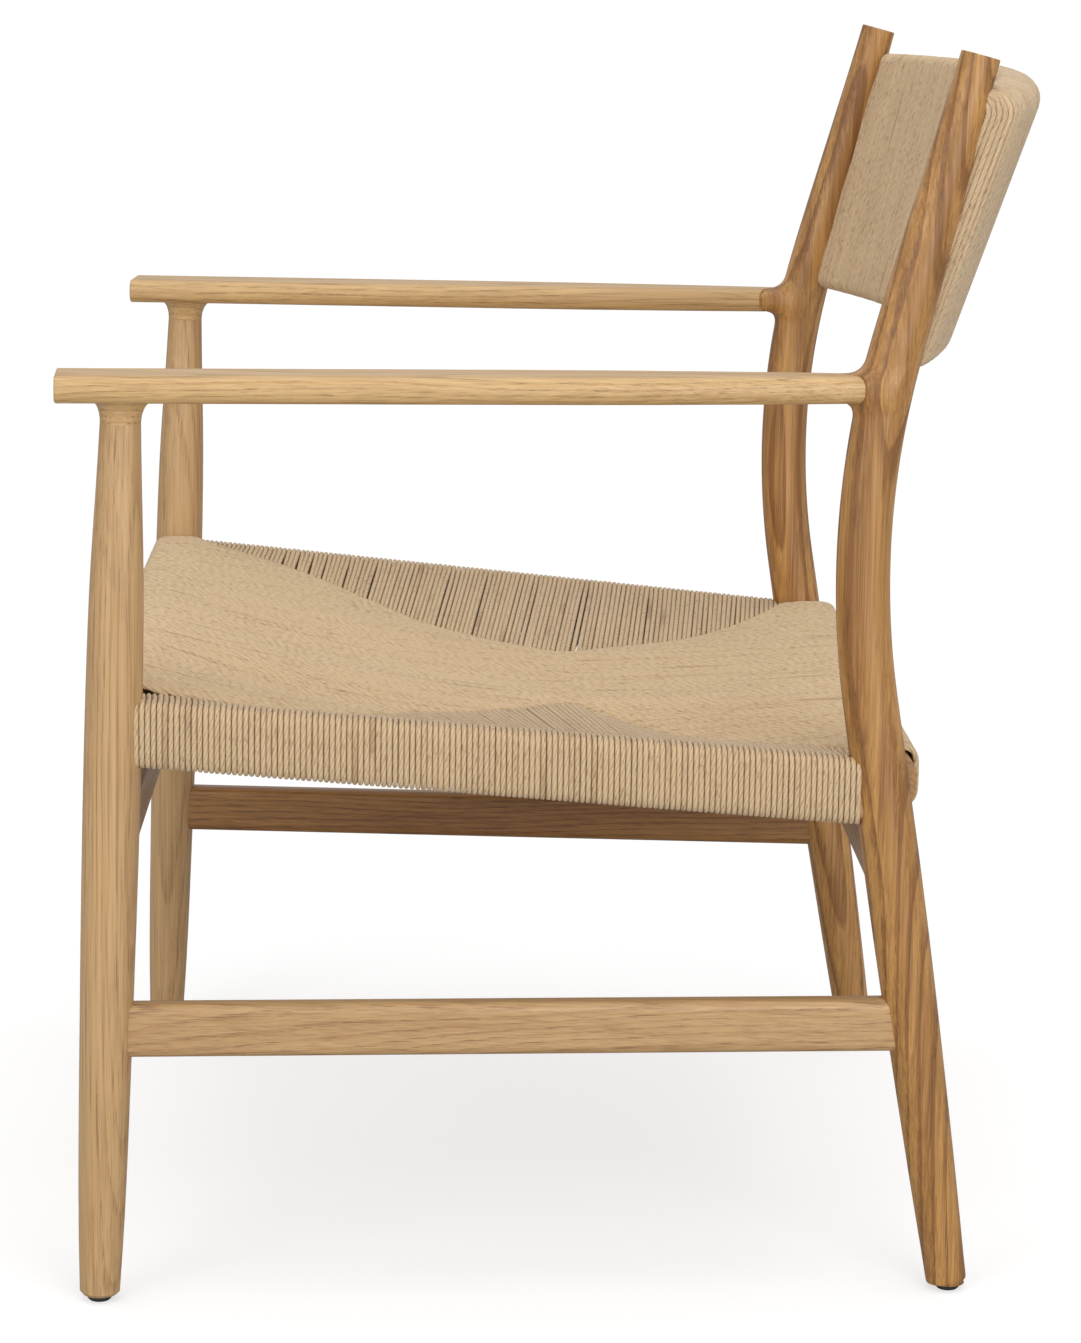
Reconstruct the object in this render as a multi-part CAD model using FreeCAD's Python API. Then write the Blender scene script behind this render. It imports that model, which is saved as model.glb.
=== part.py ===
import FreeCAD, Part
import math
import os

from FreeCAD import Vector

# A low oak armchair with a woven paper-cord seat and back. Sizes are in millimetres.
# x runs across the chair (+x is the sitter's left), y runs from front to rear, z is up.
# Each side of the chair lies in one upright plane. The two planes close up towards the rear.
# A side is built in its own plane first: u across it (outwards), v along it from the front end
# of the armrest, and z up. It is then turned into place and mirrored for the other side.

# ---- driving dimensions -------------------------------------------------------------------
HALF_WIDTH_FRONT = 302.6        # middle of the chair to a side plane, at the armrest's front end
SIDE_TAPER = 0.0575             # how much a side plane closes in per mm of depth

CORD = 3.5                      # paper cord diameter
JOINT_CLEARANCE = 0.1           # glue gap all round a tenon, dowel or nail

GLIDE_HEIGHT = 4.0
GLIDE_RADIUS = 7.5
GLIDE_EDGE = 1.2
NAIL_RADIUS = 1.25
NAIL_LENGTH = 18.0
NAIL_HEAD_RADIUS = 2.75
NAIL_HEAD = 1.2
LEG_END_CHAMFER = 2.0

ARM_TOP = 585.0                 # height of the armrest's top face
ARM_RISE = 1.5                  # how much higher its rear end is
ARM_THICKNESS = 17.0
ARM_WIDTH = 50.0
ARM_REAR_WIDTH = 29.0           # where it meets the back post
ARM_TAPER_START = 0.55          # where it begins to narrow, as a share of its length
ARM_TAPER_POWER = 2.2           # how late the narrowing comes
ARM_EDGE_RADIUS = 7.2
ARM_END_ROUND = 1.5

FRONT_LEG_FOOT_V = 23.6         # centre of the front leg at the floor
FRONT_LEG_LEAN = 1.58           # degrees, towards the rear
FRONT_LEG_RADIUS = 17.6         # at its thickest
LEG_NECK_RADIUS = 12.4          # where the leg meets the armrest's neck
NECK_HEIGHT = 13.3              # neck carved on the underside of the armrest
NECK_FLARE = 6.8                # how far the neck widens as it runs into the armrest
NECK_TENON_RADIUS = 7.0
NECK_TENON_LENGTH = 20.0

REAR_APEX_V = 493.1             # foremost point of the bent rear leg's centre line
REAR_APEX_Z = 472.0
REAR_BEND_RADIUS = 538.0
REAR_RAKE = 9.3                 # degrees, lower leg
REAR_LEAN = 14.2                # degrees, back post
REAR_LEG_RADIUS = 17.8          # at its thickest
POST_TOP = 780.0                # height of the middle of the post's top cut

ARM_JOINT_AHEAD = 1.33          # armrest's joint to the back post's centre line, in leg radii
ARM_JOINT_SKEW = 31.0           # degrees; the joint runs rearwards towards the outside
BOSS_FLARE = 11.0               # how far the post's wood swells above and below the boss
ARM_DOWEL_RADIUS = 4.0
ARM_DOWEL_LENGTH = 34.0
ARM_DOWEL_SPACING = 15.0

SIDE_STRETCHER_Z = 176.0
SIDE_STRETCHER_HEIGHT = 34.0
SIDE_STRETCHER_WIDTH = 18.0
STRETCHER_EDGE_RADIUS = 6.0
CROSS_STRETCHER_HEIGHT = 33.0
CROSS_STRETCHER_WIDTH = 18.0
FRONT_CROSS_Z = 283.0
REAR_CROSS_Z = 261.0
TENON_SHOULDER = 4.5            # how much thinner a tenon is than its bar, each side
TENON_STOP = 6.0                # a tenon ends this far short of the leg's centre line
TENON_EDGE_RADIUS = 1.0

SIDE_RAIL_TOP_FRONT = 387.0     # top of the cord on the side rails, at the front leg
SIDE_RAIL_SLOPE = 4.75          # degrees, falling to the rear
SIDE_RAIL_HEIGHT = 36.0         # bare wood
SIDE_RAIL_WIDTH = 19.0
CROSS_RAIL_DEPTH = 35.0         # front and rear seat rails, bare wood
CROSS_RAIL_HEIGHT = 33.0
CROSS_RAIL_EDGE_RADIUS = 12.0
FRONT_RAIL_Z = 372.0
REAR_RAIL_Z = 332.0
REAR_RAIL_SETBACK = 5.0         # behind the rear legs' centre line
SEAT_DIP = 19.0                 # how far the cord sinks in the middle of the seat
SEAT_CORE = 16.0                # thickness of the two cord layers in the middle of the seat

BACK_BOW = 45.0                 # how far the middle of the backrest lies behind its ends
BACK_TOP_DROP = 17.0            # from the post's top to the backrest's top, along the post
BACK_HEIGHT = 183.0             # along the post, cord included
BACK_TOP_THICKNESS = 31.0       # cord included
BACK_BOTTOM_THICKNESS = 18.0
BACK_BOTTOM_RISE = 9.0          # how much higher the bottom's rear edge is than its front edge
BACK_FRONT_EDGE_RADIUS = 7.0
BACK_TOP_EDGE_RADIUS = 13.0
BACK_BOTTOM_EDGE_RADIUS = 8.0
BACK_RAIL_HEIGHT = 24.0         # bare wood
BACK_END = 4.0                  # from a side plane in to the end of the backrest's cord
BACK_TENON_RADIUS = 3.2
BACK_TENON_DEPTH = 8.2          # from the backrest's front face back to the tenon's middle
BACK_TENON_LENGTH = 34.0

CORD_NAIL_RADIUS = 0.8
CORD_NAIL_HEAD_RADIUS = 2.0
CORD_NAIL_LENGTH = 12.0
CORD_NAIL_HEAD = 1.0
CORD_NAIL_GAP = 0.4             # under its head
CORD_NAIL_INSET = 60.0          # from a rail's end to its nail

# how the seat sinks: (share of the depth between front and rear rail, share of SEAT_DIP)
SEAT_DIP_SHAPE = [(0.0, 0.05), (0.3, 0.75), (0.6, 1.0), (0.85, 0.6), (1.0, 0.05)]

# how the boss swells: (distance in front of the post's surface, share of BOSS_FLARE)
BOSS_SHAPE = [(-3.0, 0.55), (1.0, 0.2), (6.0, 0.0)]

# where the cord nails sit along a side rail, as shares of its length
CORD_NAIL_SHARES = (0.3, 0.7)

# radii of a leg along its height: (share of the height, share of the largest radius)
FRONT_LEG_SHAPE = [(0.0, 0.715), (0.09, 0.82), (0.28, 0.92), (0.46, 0.982), (0.62, 1.0),
                   (0.74, 0.977), (0.83, 0.92), (0.915, 0.81)]
REAR_LEG_SHAPE = [(0.0, 0.71), (0.08, 0.82), (0.17, 0.905), (0.27, 0.978), (0.35, 1.0),
                  (0.43, 0.978), (0.54, 0.945), (0.65, 0.93), (0.76, 0.933), (0.81, 0.91),
                  (0.85, 0.855), (0.90, 0.785), (0.95, 0.72), (1.0, 0.675)]

# ---- values worked out from them -------------------------------------------------------------
UP = Vector(0, 0, 1)
ACROSS = Vector(1, 0, 0)
REARWARD = Vector(0, 1, 0)
OVERRUN = 10.0                  # how far a shape runs on before it is trimmed
BEYOND = 2000.0                 # size of a cutting block, larger than the chair

SIDE_ANGLE = math.degrees(math.atan(SIDE_TAPER))
ARM_UNDERSIDE = ARM_TOP - ARM_THICKNESS
ARM_MIDDLE = ARM_TOP - ARM_THICKNESS / 2
NECK_JOINT_Z = ARM_UNDERSIDE - NECK_HEIGHT
ARM_MIDDLE_REAR = ARM_MIDDLE + ARM_RISE


def radians(angle):
    return math.radians(angle)


def rear_axis(z):
    """v of the rear leg's centre line at a height: straight, then an arc, then straight."""
    low = REAR_APEX_Z - REAR_BEND_RADIUS * math.sin(radians(REAR_RAKE))
    high = REAR_APEX_Z + REAR_BEND_RADIUS * math.sin(radians(REAR_LEAN))
    level = min(max(z, low), high)
    rise = level - REAR_APEX_Z
    v = REAR_APEX_V + REAR_BEND_RADIUS - math.sqrt(REAR_BEND_RADIUS ** 2 - rise ** 2)
    if z < low:
        v += (low - z) * math.tan(radians(REAR_RAKE))
    if z > high:
        v += (z - high) * math.tan(radians(REAR_LEAN))
    return v


ARM_JOINT_V = rear_axis(ARM_MIDDLE_REAR) - ARM_JOINT_AHEAD * REAR_LEG_RADIUS


def rear_tilt(z):
    """Lean of the rear leg's centre line from upright, in degrees, positive to the rear."""
    sine = (z - REAR_APEX_Z) / REAR_BEND_RADIUS
    return min(max(math.degrees(math.asin(min(max(sine, -1), 1))), -REAR_RAKE), REAR_LEAN)


def front_axis(z):
    """v of the front leg's centre line at a height."""
    return FRONT_LEG_FOOT_V + z * math.tan(radians(FRONT_LEG_LEAN))


def side_point(v, z, u=0.0):
    """A point of the left side's plane, in the chair's own x, y, z."""
    angle = radians(SIDE_ANGLE)
    x = HALF_WIDTH_FRONT + u * math.cos(angle) - v * math.sin(angle)
    y = u * math.sin(angle) + v * math.cos(angle)
    return Vector(x, y, z)


def in_place(shape):
    """Turns a shape built in the side's own plane to where the left side stands."""
    placed = shape.copy()
    placed.rotate(Vector(0, 0, 0), UP, SIDE_ANGLE)
    placed.translate(Vector(HALF_WIDTH_FRONT, 0, 0))
    return placed


def mirrored(shape):
    """The same piece on the other side of the chair."""
    return shape.mirror(Vector(0, 0, 0), ACROSS)


# ---- outlines and solids ----------------------------------------------------------------------
def rounded_outline(corners, origin, across, upward):
    """Closed wire through (a, b, radius) corners, in the plane of two unit vectors."""
    points = [origin + across * a + upward * b for a, b, _ in corners]
    edges = []
    ends = []
    for i, (_, _, radius) in enumerate(corners):
        corner = points[i]
        back = (points[i - 1] - corner).normalize()
        ahead = (points[(i + 1) % len(points)] - corner).normalize()
        half = back.getAngle(ahead) / 2
        reach = radius / math.tan(half)
        bisector = (back + ahead).normalize()
        middle = corner + bisector * (radius / math.sin(half) - radius)
        ends.append((corner + back * reach, middle, corner + ahead * reach))
    for i, (start, middle, finish) in enumerate(ends):
        edges.append(Part.Arc(start, middle, finish).toShape())
        following = ends[(i + 1) % len(ends)][0]
        if finish.distanceToPoint(following) > 1e-6:
            edges.append(Part.LineSegment(finish, following).toShape())
    return Part.Wire(edges)


def rectangle(width, height, radius, middle=(0.0, 0.0)):
    """Corners of a rounded rectangle, for rounded_outline."""
    a, b = middle
    w, h = width / 2, height / 2
    return [(a - w, b - h, radius), (a + w, b - h, radius), (a + w, b + h, radius), (a - w, b + h, radius)]


def bar(start, end, width, height, radius):
    """A straight bar with a rounded rectangular section, its height upright."""
    along = (end - start).normalize()
    across = along.cross(UP).normalize()
    outline = rounded_outline(rectangle(width, height, radius), start, across, across.cross(along))
    return Part.Face(outline).extrude(end - start)


def rod(start, end, radius):
    return Part.makeCylinder(radius, start.distanceToPoint(end), start, end - start)


def largest(shape):
    """The biggest solid of a cut shape."""
    return max(shape.Solids, key=lambda solid: solid.Volume)


def together(shapes):
    """One solid out of shapes that overlap."""
    joined = shapes[0].multiFuse(shapes[1:]).removeSplitter()
    return largest(joined)


# ---- front leg ----------------------------------------------------------------------------------
def below(z):
    """Everything under a height, for trimming."""
    return Part.makeBox(BEYOND, BEYOND, BEYOND, Vector(-BEYOND / 2, -BEYOND / 2, z - BEYOND))


def leaned(shape):
    """Stands a shape turned about the z axis on the front leg's foot, with the leg's lean."""
    placed = shape.copy()
    placed.rotate(Vector(0, 0, 0), ACROSS, -FRONT_LEG_LEAN)
    placed.translate(Vector(0, FRONT_LEG_FOOT_V, 0))
    return placed


def turned(curve, closing):
    """Solid of revolution about the z axis: a smooth curve, closed by straight lines."""
    side = Part.BSplineCurve()
    side.interpolate(curve)
    lines = Part.makePolygon([curve[-1]] + closing + [curve[0]])
    return Part.Face(Part.Wire([side.toShape()] + lines.Edges)).revolve(Vector(0, 0, 0), UP, 360)


def front_leg():
    """Turned leg, thickest at seat height, with a round tenon that enters the armrest."""
    base_z = GLIDE_HEIGHT + LEG_END_CHAMFER
    height = NECK_JOINT_Z - base_z
    curve = [Vector(FRONT_LEG_RADIUS * share, 0, base_z + height * part) for part, share in FRONT_LEG_SHAPE]
    curve.append(Vector(LEG_NECK_RADIUS, 0, NECK_JOINT_Z))
    foot_radius = curve[0].x - LEG_END_CHAMFER
    low = GLIDE_HEIGHT - OVERRUN
    leg = turned(curve, [Vector(0, 0, NECK_JOINT_Z), Vector(0, 0, low), Vector(foot_radius, 0, low),
                         Vector(foot_radius, 0, GLIDE_HEIGHT)])
    tenon = rod(Vector(0, 0, base_z), Vector(0, 0, NECK_JOINT_Z + NECK_TENON_LENGTH), NECK_TENON_RADIUS)
    return leaned(together([leg, tenon])).cut(below(GLIDE_HEIGHT))


# ---- armrest ------------------------------------------------------------------------------------
def arm_width(v):
    """Full width up to the last third, then an easy curve in to the back post."""
    start = ARM_TAPER_START * ARM_JOINT_V
    share = min(max((v - start) / (ARM_JOINT_V - start), 0.0), 1.0)
    return ARM_WIDTH - (ARM_WIDTH - ARM_REAR_WIDTH) * share ** ARM_TAPER_POWER


def arm_blank():
    """The armrest's bar, from its front end to the back post's centre line."""
    end = rear_axis(ARM_MIDDLE_REAR)
    stations = [0.0, 0.2 * ARM_JOINT_V, 0.4 * ARM_JOINT_V, 0.6 * ARM_JOINT_V, 0.75 * ARM_JOINT_V,
                0.87 * ARM_JOINT_V, 0.95 * ARM_JOINT_V, ARM_JOINT_V, end]
    wires = []
    for v in stations:
        middle = ARM_MIDDLE + ARM_RISE * v / ARM_JOINT_V
        corners = rectangle(arm_width(v), ARM_THICKNESS, ARM_EDGE_RADIUS)
        wires.append(rounded_outline(corners, Vector(0, v, middle), ACROSS, UP))
    return Part.makeLoft(wires, True, False)


def joint_space():
    """Everything behind the skewed joint between armrest and back post."""
    block = Part.makeBox(BEYOND, BEYOND, BEYOND, Vector(-BEYOND / 2, 0, ARM_MIDDLE - BEYOND / 2))
    block.rotate(Vector(0, 0, 0), UP, ARM_JOINT_SKEW)
    block.translate(Vector(0, ARM_JOINT_V, 0))
    return block


def neck():
    """Trumpet on the armrest's underside that runs down to the front leg."""
    rings = 9
    curve = []
    for i in range(rings):
        share = i / (rings - 1)
        swell = NECK_FLARE * (1 - math.sqrt(1 - share ** 2))
        curve.append(Vector(LEG_NECK_RADIUS + swell, 0, NECK_JOINT_Z + NECK_HEIGHT * share))
    closing = [Vector(curve[-1].x, 0, ARM_MIDDLE), Vector(0, 0, ARM_MIDDLE), Vector(0, 0, NECK_JOINT_Z)]
    return leaned(turned(curve, closing))


def neck_socket():
    """Blind hole for the front leg's tenon, with room for glue past its end."""
    start = Vector(0, 0, NECK_JOINT_Z - OVERRUN)
    end = Vector(0, 0, NECK_JOINT_Z + NECK_TENON_LENGTH + 1)
    return leaned(rod(start, end, NECK_TENON_RADIUS + JOINT_CLEARANCE))


def arm_dowels(extra=0.0):
    """Two dowels across the armrest's joint with the back post."""
    start = ARM_JOINT_V - ARM_DOWEL_LENGTH / 2 - extra
    end = ARM_JOINT_V + ARM_DOWEL_LENGTH / 2 + extra
    pins = []
    for side in (-1, 1):
        u = side * ARM_DOWEL_SPACING / 2
        middle = Vector(u, 0, ARM_MIDDLE_REAR)
        pins.append(rod(middle + REARWARD * start, middle + REARWARD * end, ARM_DOWEL_RADIUS + extra))
    return pins


def armrest(blank):
    front = blank.cut(joint_space())
    edges = [edge for edge in front.Edges if edge.BoundBox.YMax < 1e-3]
    front = front.makeFillet(ARM_END_ROUND, edges)
    arm = together([front, neck()]).cut(neck_socket())
    for pin in arm_dowels(JOINT_CLEARANCE):
        arm = arm.cut(pin)
    return largest(arm)


# ---- rear leg -----------------------------------------------------------------------------------
def rear_leg(blank):
    """Leg and back post in one bent piece, with the boss that the armrest is dowelled to."""
    rings = []
    for part, share in REAR_LEG_SHAPE:
        z = GLIDE_HEIGHT + (POST_TOP - GLIDE_HEIGHT) * part
        rings.append((z, REAR_LEG_RADIUS * share))
    rings.insert(0, (GLIDE_HEIGHT - OVERRUN, rings[0][1]))
    rings.append((POST_TOP + OVERRUN, rings[-1][1]))
    wires = []
    for z, radius in rings:
        ring = Part.Wire(Part.Circle(Vector(0, 0, 0), UP, radius).toShape())
        ring.rotate(Vector(0, 0, 0), ACROSS, -rear_tilt(z))
        ring.translate(Vector(0, rear_axis(z), z))
        wires.append(ring)
    post = Part.makeLoft(wires, True, False)
    boss = blank.common(joint_space()).fuse(boss_flare().common(joint_space()))
    leg = together([post, boss]).cut(below(GLIDE_HEIGHT))
    above = Part.makeBox(BEYOND, BEYOND, BEYOND, Vector(-BEYOND / 2, -BEYOND / 2, 0))
    above.rotate(Vector(0, 0, 0), ACROSS, -REAR_LEAN)
    above.translate(Vector(0, rear_axis(POST_TOP), POST_TOP))
    leg = leg.cut(above)
    foot_edges = [edge for edge in leg.Edges if edge.BoundBox.ZMax < GLIDE_HEIGHT + 1e-3]
    leg = leg.makeChamfer(LEG_END_CHAMFER, foot_edges)
    for pin in arm_dowels(JOINT_CLEARANCE):
        leg = leg.cut(pin)
    return largest(leg)


def boss_flare():
    """The post's wood swelling out to meet the boss, widest at the post's centre line."""
    axis = rear_axis(ARM_MIDDLE_REAR)
    surface = axis - REAR_LEG_RADIUS
    steps = [(axis, 1.0)] + [(surface - ahead, share) for ahead, share in BOSS_SHAPE]
    wires = []
    for v, share in steps:
        height = ARM_THICKNESS + 2 * BOSS_FLARE * share
        corners = rectangle(ARM_REAR_WIDTH, height, ARM_EDGE_RADIUS)
        wires.append(rounded_outline(corners, Vector(0, v, ARM_MIDDLE_REAR), ACROSS, UP))
    return Part.makeLoft(wires, True, False)


# ---- bars between legs --------------------------------------------------------------------------
def member(start, end, width, height, radius, legs):
    """A bar between two legs' centre lines: its shoulders follow the legs, its tenons enter them.
    Gives the bar and the shape of its mortises."""
    along = (end - start).normalize()
    body = largest(bar(start, end, width, height, radius).cut(legs[0]).cut(legs[1]))
    tenon_width = width - 2 * TENON_SHOULDER
    tenon_height = height - 2 * TENON_SHOULDER
    first = start + along * TENON_STOP
    last = end - along * TENON_STOP
    tenon = bar(first, last, tenon_width, tenon_height, TENON_EDGE_RADIUS)
    gap = along * JOINT_CLEARANCE
    mortise = bar(first - gap, last + gap, tenon_width + 2 * JOINT_CLEARANCE,
                  tenon_height + 2 * JOINT_CLEARANCE, TENON_EDGE_RADIUS)
    return together([body, tenon]), mortise


def side_rail_line():
    """Ends of a side seat rail's centre line, on the two legs' centre lines."""
    slope = math.tan(radians(SIDE_RAIL_SLOPE))
    half = (SIDE_RAIL_HEIGHT / 2 + CORD) / math.cos(radians(SIDE_RAIL_SLOPE))
    front_z = SIDE_RAIL_TOP_FRONT - half
    start = Vector(0, front_axis(front_z), front_z)
    rear_z = front_z - (rear_axis(REAR_RAIL_Z) - start.y) * slope
    return start, Vector(0, rear_axis(rear_z), rear_z)


def cross_line(v, z):
    """Ends of a line across the chair, between points of the two side planes."""
    left = side_point(v, z)
    return Vector(-left.x, left.y, z), left


# ---- woven seat and back ------------------------------------------------------------------------
def seat_section(y, half_width, top, bottom, dip):
    """Outline across the seat's cord layers: both sink towards each other in the middle."""
    core_top = top - dip
    core_bottom = max(bottom + dip, core_top - SEAT_CORE) if dip else bottom
    corners = [Vector(-half_width, y, bottom), Vector(half_width, y, bottom),
               Vector(half_width, y, top), Vector(-half_width, y, top)]
    under = Part.Arc(corners[0], Vector(0, y, core_bottom), corners[1]).toShape()
    over = Part.Arc(corners[2], Vector(0, y, core_top), corners[3]).toShape()
    left = Part.LineSegment(corners[1], corners[2]).toShape()
    right = Part.LineSegment(corners[3], corners[0]).toShape()
    return Part.Wire([under, left, over, right])


def seat_weave(legs, rails, lines, nails):
    """Closed shape of the cord: wrapped round the four rails, sinking in the middle."""
    (left_start, left_end), front, rear = lines
    slope = math.tan(radians(SIDE_RAIL_SLOPE))
    wraps = [bar(Vector(*left_start), Vector(*left_end), SIDE_RAIL_WIDTH + 2 * CORD,
                 SIDE_RAIL_HEIGHT + 2 * CORD, STRETCHER_EDGE_RADIUS)]
    wraps.append(mirrored(wraps[0]))
    for start, end in (front, rear):
        wraps.append(bar(start, end, CROSS_RAIL_DEPTH + 2 * CORD, CROSS_RAIL_HEIGHT + 2 * CORD,
                         CROSS_RAIL_EDGE_RADIUS + CORD))
    near, far = front[0].y, rear[0].y
    depth = far - near
    half_height = SIDE_RAIL_HEIGHT / 2
    sections = []
    for share, dip_share in SEAT_DIP_SHAPE:
        y = near + depth * share
        middle = left_start.z - (y - left_start.y) * slope
        half_width = HALF_WIDTH_FRONT - SIDE_TAPER * y
        sections.append(seat_section(y, half_width, middle + half_height + CORD / 2,
                                     middle - half_height - CORD / 2, SEAT_DIP * dip_share))
    weave = together(wraps + [Part.makeLoft(sections, True, False)])
    return largest(weave.cut(legs + rails + nails))


def back_point(n, s):
    """A point of the backrest's middle section: n behind its front face, s down from the post's top."""
    lean = radians(REAR_LEAN)
    top = side_point(rear_axis(POST_TOP), POST_TOP)
    y = top.y + BACK_BOW + n * math.cos(lean) - s * math.sin(lean)
    z = POST_TOP - n * math.sin(lean) - s * math.cos(lean)
    return Vector(0, y, z)


def back_bow():
    """The bow's axis, and its radius to a point of the middle section."""
    middle = back_point(0, BACK_TOP_DROP + BACK_HEIGHT / 2)
    half_span = side_point(rear_axis(middle.z), middle.z).x
    radius = (half_span ** 2 + BACK_BOW ** 2) / (2 * BACK_BOW)
    return Vector(0, middle.y - radius, 0), radius, half_span


def back_sweep(corners, end):
    """A section of the backrest, carried round its level bow and ended beside both side planes."""
    lean = radians(REAR_LEAN)
    across = Vector(0, math.cos(lean), -math.sin(lean))
    upward = Vector(0, math.sin(lean), math.cos(lean))
    face = Part.Face(rounded_outline(corners, back_point(0, 0), across, upward))
    axis, radius, half_span = back_bow()
    sweep = math.degrees(math.asin((half_span + OVERRUN) / radius))
    face.rotate(axis, UP, -sweep)
    body = face.revolve(axis, UP, 2 * sweep)
    outside = in_place(Part.makeBox(BEYOND, BEYOND, BEYOND, Vector(-end, -BEYOND / 2, 0)))
    return largest(body.cut(outside).cut(mirrored(outside)))


def back_outline():
    """Corners of the backrest's section, cord included."""
    top = -BACK_TOP_DROP
    bottom = top - BACK_HEIGHT
    return [(0, top, BACK_FRONT_EDGE_RADIUS), (BACK_TOP_THICKNESS, top, BACK_TOP_EDGE_RADIUS),
            (BACK_BOTTOM_THICKNESS, bottom + BACK_BOTTOM_RISE, BACK_BOTTOM_EDGE_RADIUS),
            (0, bottom, BACK_FRONT_EDGE_RADIUS)]


def back_rail_outlines():
    """Sections of the top and bottom rails: the cord's own section, set in by its thickness."""
    top = -BACK_TOP_DROP - CORD
    bottom = -BACK_TOP_DROP - BACK_HEIGHT + CORD
    under = top - BACK_RAIL_HEIGHT
    over = bottom + BACK_RAIL_HEIGHT
    slant = (BACK_TOP_THICKNESS - BACK_BOTTOM_THICKNESS) / BACK_HEIGHT * BACK_RAIL_HEIGHT
    deep = BACK_TOP_THICKNESS - CORD
    shallow = BACK_BOTTOM_THICKNESS - CORD
    edge = BACK_FRONT_EDGE_RADIUS - CORD
    upper = [(CORD, top, edge), (deep, top, BACK_TOP_EDGE_RADIUS - CORD),
             (deep - slant, under, edge), (CORD, under, edge)]
    lower = [(CORD, over, edge), (shallow + slant, over, edge),
             (shallow, bottom + BACK_BOTTOM_RISE, BACK_BOTTOM_EDGE_RADIUS - CORD), (CORD, bottom, edge)]
    return upper, lower


def back_tenon(s, extra=0.0):
    """Round tenon from a back rail's end into the left post, along the bow at its end."""
    axis = back_bow()[0]
    inner = back_point(BACK_TENON_DEPTH, s)
    radius = inner.y - axis.y
    x = side_point(rear_axis(inner.z), inner.z).x
    turn = math.asin(x / radius)
    along = Vector(math.cos(turn), -math.sin(turn), 0)
    end = Vector(x, axis.y + radius * math.cos(turn), inner.z)
    return rod(end - along * BACK_TENON_LENGTH, end + along * extra, BACK_TENON_RADIUS + extra)


# ---- feet and nails -----------------------------------------------------------------------------
def glide(centre):
    disc = Part.makeCylinder(GLIDE_RADIUS, GLIDE_HEIGHT, centre, UP)
    bottom = [edge for edge in disc.Edges if edge.BoundBox.ZMax < 1e-3]
    return disc.makeChamfer(GLIDE_EDGE, bottom)


def glide_nail(centre):
    """Nail that holds a glide: its head is set in the glide, its shank goes up into the leg."""
    base = centre + UP * (GLIDE_HEIGHT / 2)
    head = rod(base, base + UP * NAIL_HEAD, NAIL_HEAD_RADIUS)
    shank = rod(base, base + UP * NAIL_LENGTH, NAIL_RADIUS)
    return together([head, shank])


def cord_nail(face_point, inward):
    """Small nail on a rail's inner face, round which the cord is tied off."""
    head_start = face_point - inward * (CORD_NAIL_HEAD + CORD_NAIL_GAP)
    head = rod(head_start, head_start + inward * CORD_NAIL_HEAD, CORD_NAIL_HEAD_RADIUS)
    shank = rod(head_start, face_point + inward * (CORD_NAIL_LENGTH - CORD_NAIL_HEAD), CORD_NAIL_RADIUS)
    return together([head, shank])


# ---- the whole chair ----------------------------------------------------------------------------
def cut_all(shape, tools):
    for tool in tools:
        shape = shape.cut(tool)
    return shape


def add_side_bars(pieces, legs, uncut):
    """Stretcher and seat rail between the legs of each side, with their mortises."""
    pair = (uncut["front_leg_left"], uncut["rear_leg_left"])
    z = SIDE_STRETCHER_Z
    stretcher, stretcher_mortise = member(side_point(front_axis(z), z), side_point(rear_axis(z), z),
                                          SIDE_STRETCHER_WIDTH, SIDE_STRETCHER_HEIGHT,
                                          STRETCHER_EDGE_RADIUS, pair)
    start, end = side_rail_line()
    rail_line = (side_point(start.y, start.z), side_point(end.y, end.z))
    rail, rail_mortise = member(rail_line[0], rail_line[1], SIDE_RAIL_WIDTH, SIDE_RAIL_HEIGHT,
                                STRETCHER_EDGE_RADIUS, pair)
    pieces["side_stretcher_left"] = stretcher
    pieces["side_stretcher_right"] = mirrored(stretcher)
    pieces["seat_rail_left"] = rail
    pieces["seat_rail_right"] = mirrored(rail)
    mortises = [stretcher_mortise, rail_mortise]
    for leg in ("front_leg_", "rear_leg_"):
        legs[leg + "left"] = cut_all(legs[leg + "left"], mortises)
        legs[leg + "right"] = cut_all(legs[leg + "right"], [mirrored(tool) for tool in mortises])
    return rail_line


def add_cross_bars(pieces, legs, uncut):
    """Seat rails and stretchers between the two sides, with their mortises."""
    front_rail = cross_line(front_axis(FRONT_RAIL_Z), FRONT_RAIL_Z)
    rear_rail = cross_line(rear_axis(REAR_RAIL_Z) + REAR_RAIL_SETBACK, REAR_RAIL_Z)
    front_bar = cross_line(front_axis(FRONT_CROSS_Z), FRONT_CROSS_Z)
    rear_bar = cross_line(rear_axis(REAR_CROSS_Z), REAR_CROSS_Z)
    rail_size = (CROSS_RAIL_DEPTH, CROSS_RAIL_HEIGHT, CROSS_RAIL_EDGE_RADIUS)
    bar_size = (CROSS_STRETCHER_WIDTH, CROSS_STRETCHER_HEIGHT, STRETCHER_EDGE_RADIUS)
    members = (("seat_rail_front", "front_leg_", front_rail, rail_size),
               ("seat_rail_rear", "rear_leg_", rear_rail, rail_size),
               ("front_cross_stretcher", "front_leg_", front_bar, bar_size),
               ("rear_cross_stretcher", "rear_leg_", rear_bar, bar_size))
    for name, leg, line, size in members:
        ends = (uncut[leg + "right"], uncut[leg + "left"])
        pieces[name], mortise = member(line[0], line[1], size[0], size[1], size[2], ends)
        for side in ("left", "right"):
            legs[leg + side] = legs[leg + side].cut(mortise)
    cross_rails = [pieces["seat_rail_front"], pieces["seat_rail_rear"]]
    for side in ("left", "right"):
        rail = pieces["seat_rail_" + side]
        pieces["seat_rail_" + side] = largest(cut_all(rail, cross_rails))
    return front_rail, rear_rail


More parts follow.
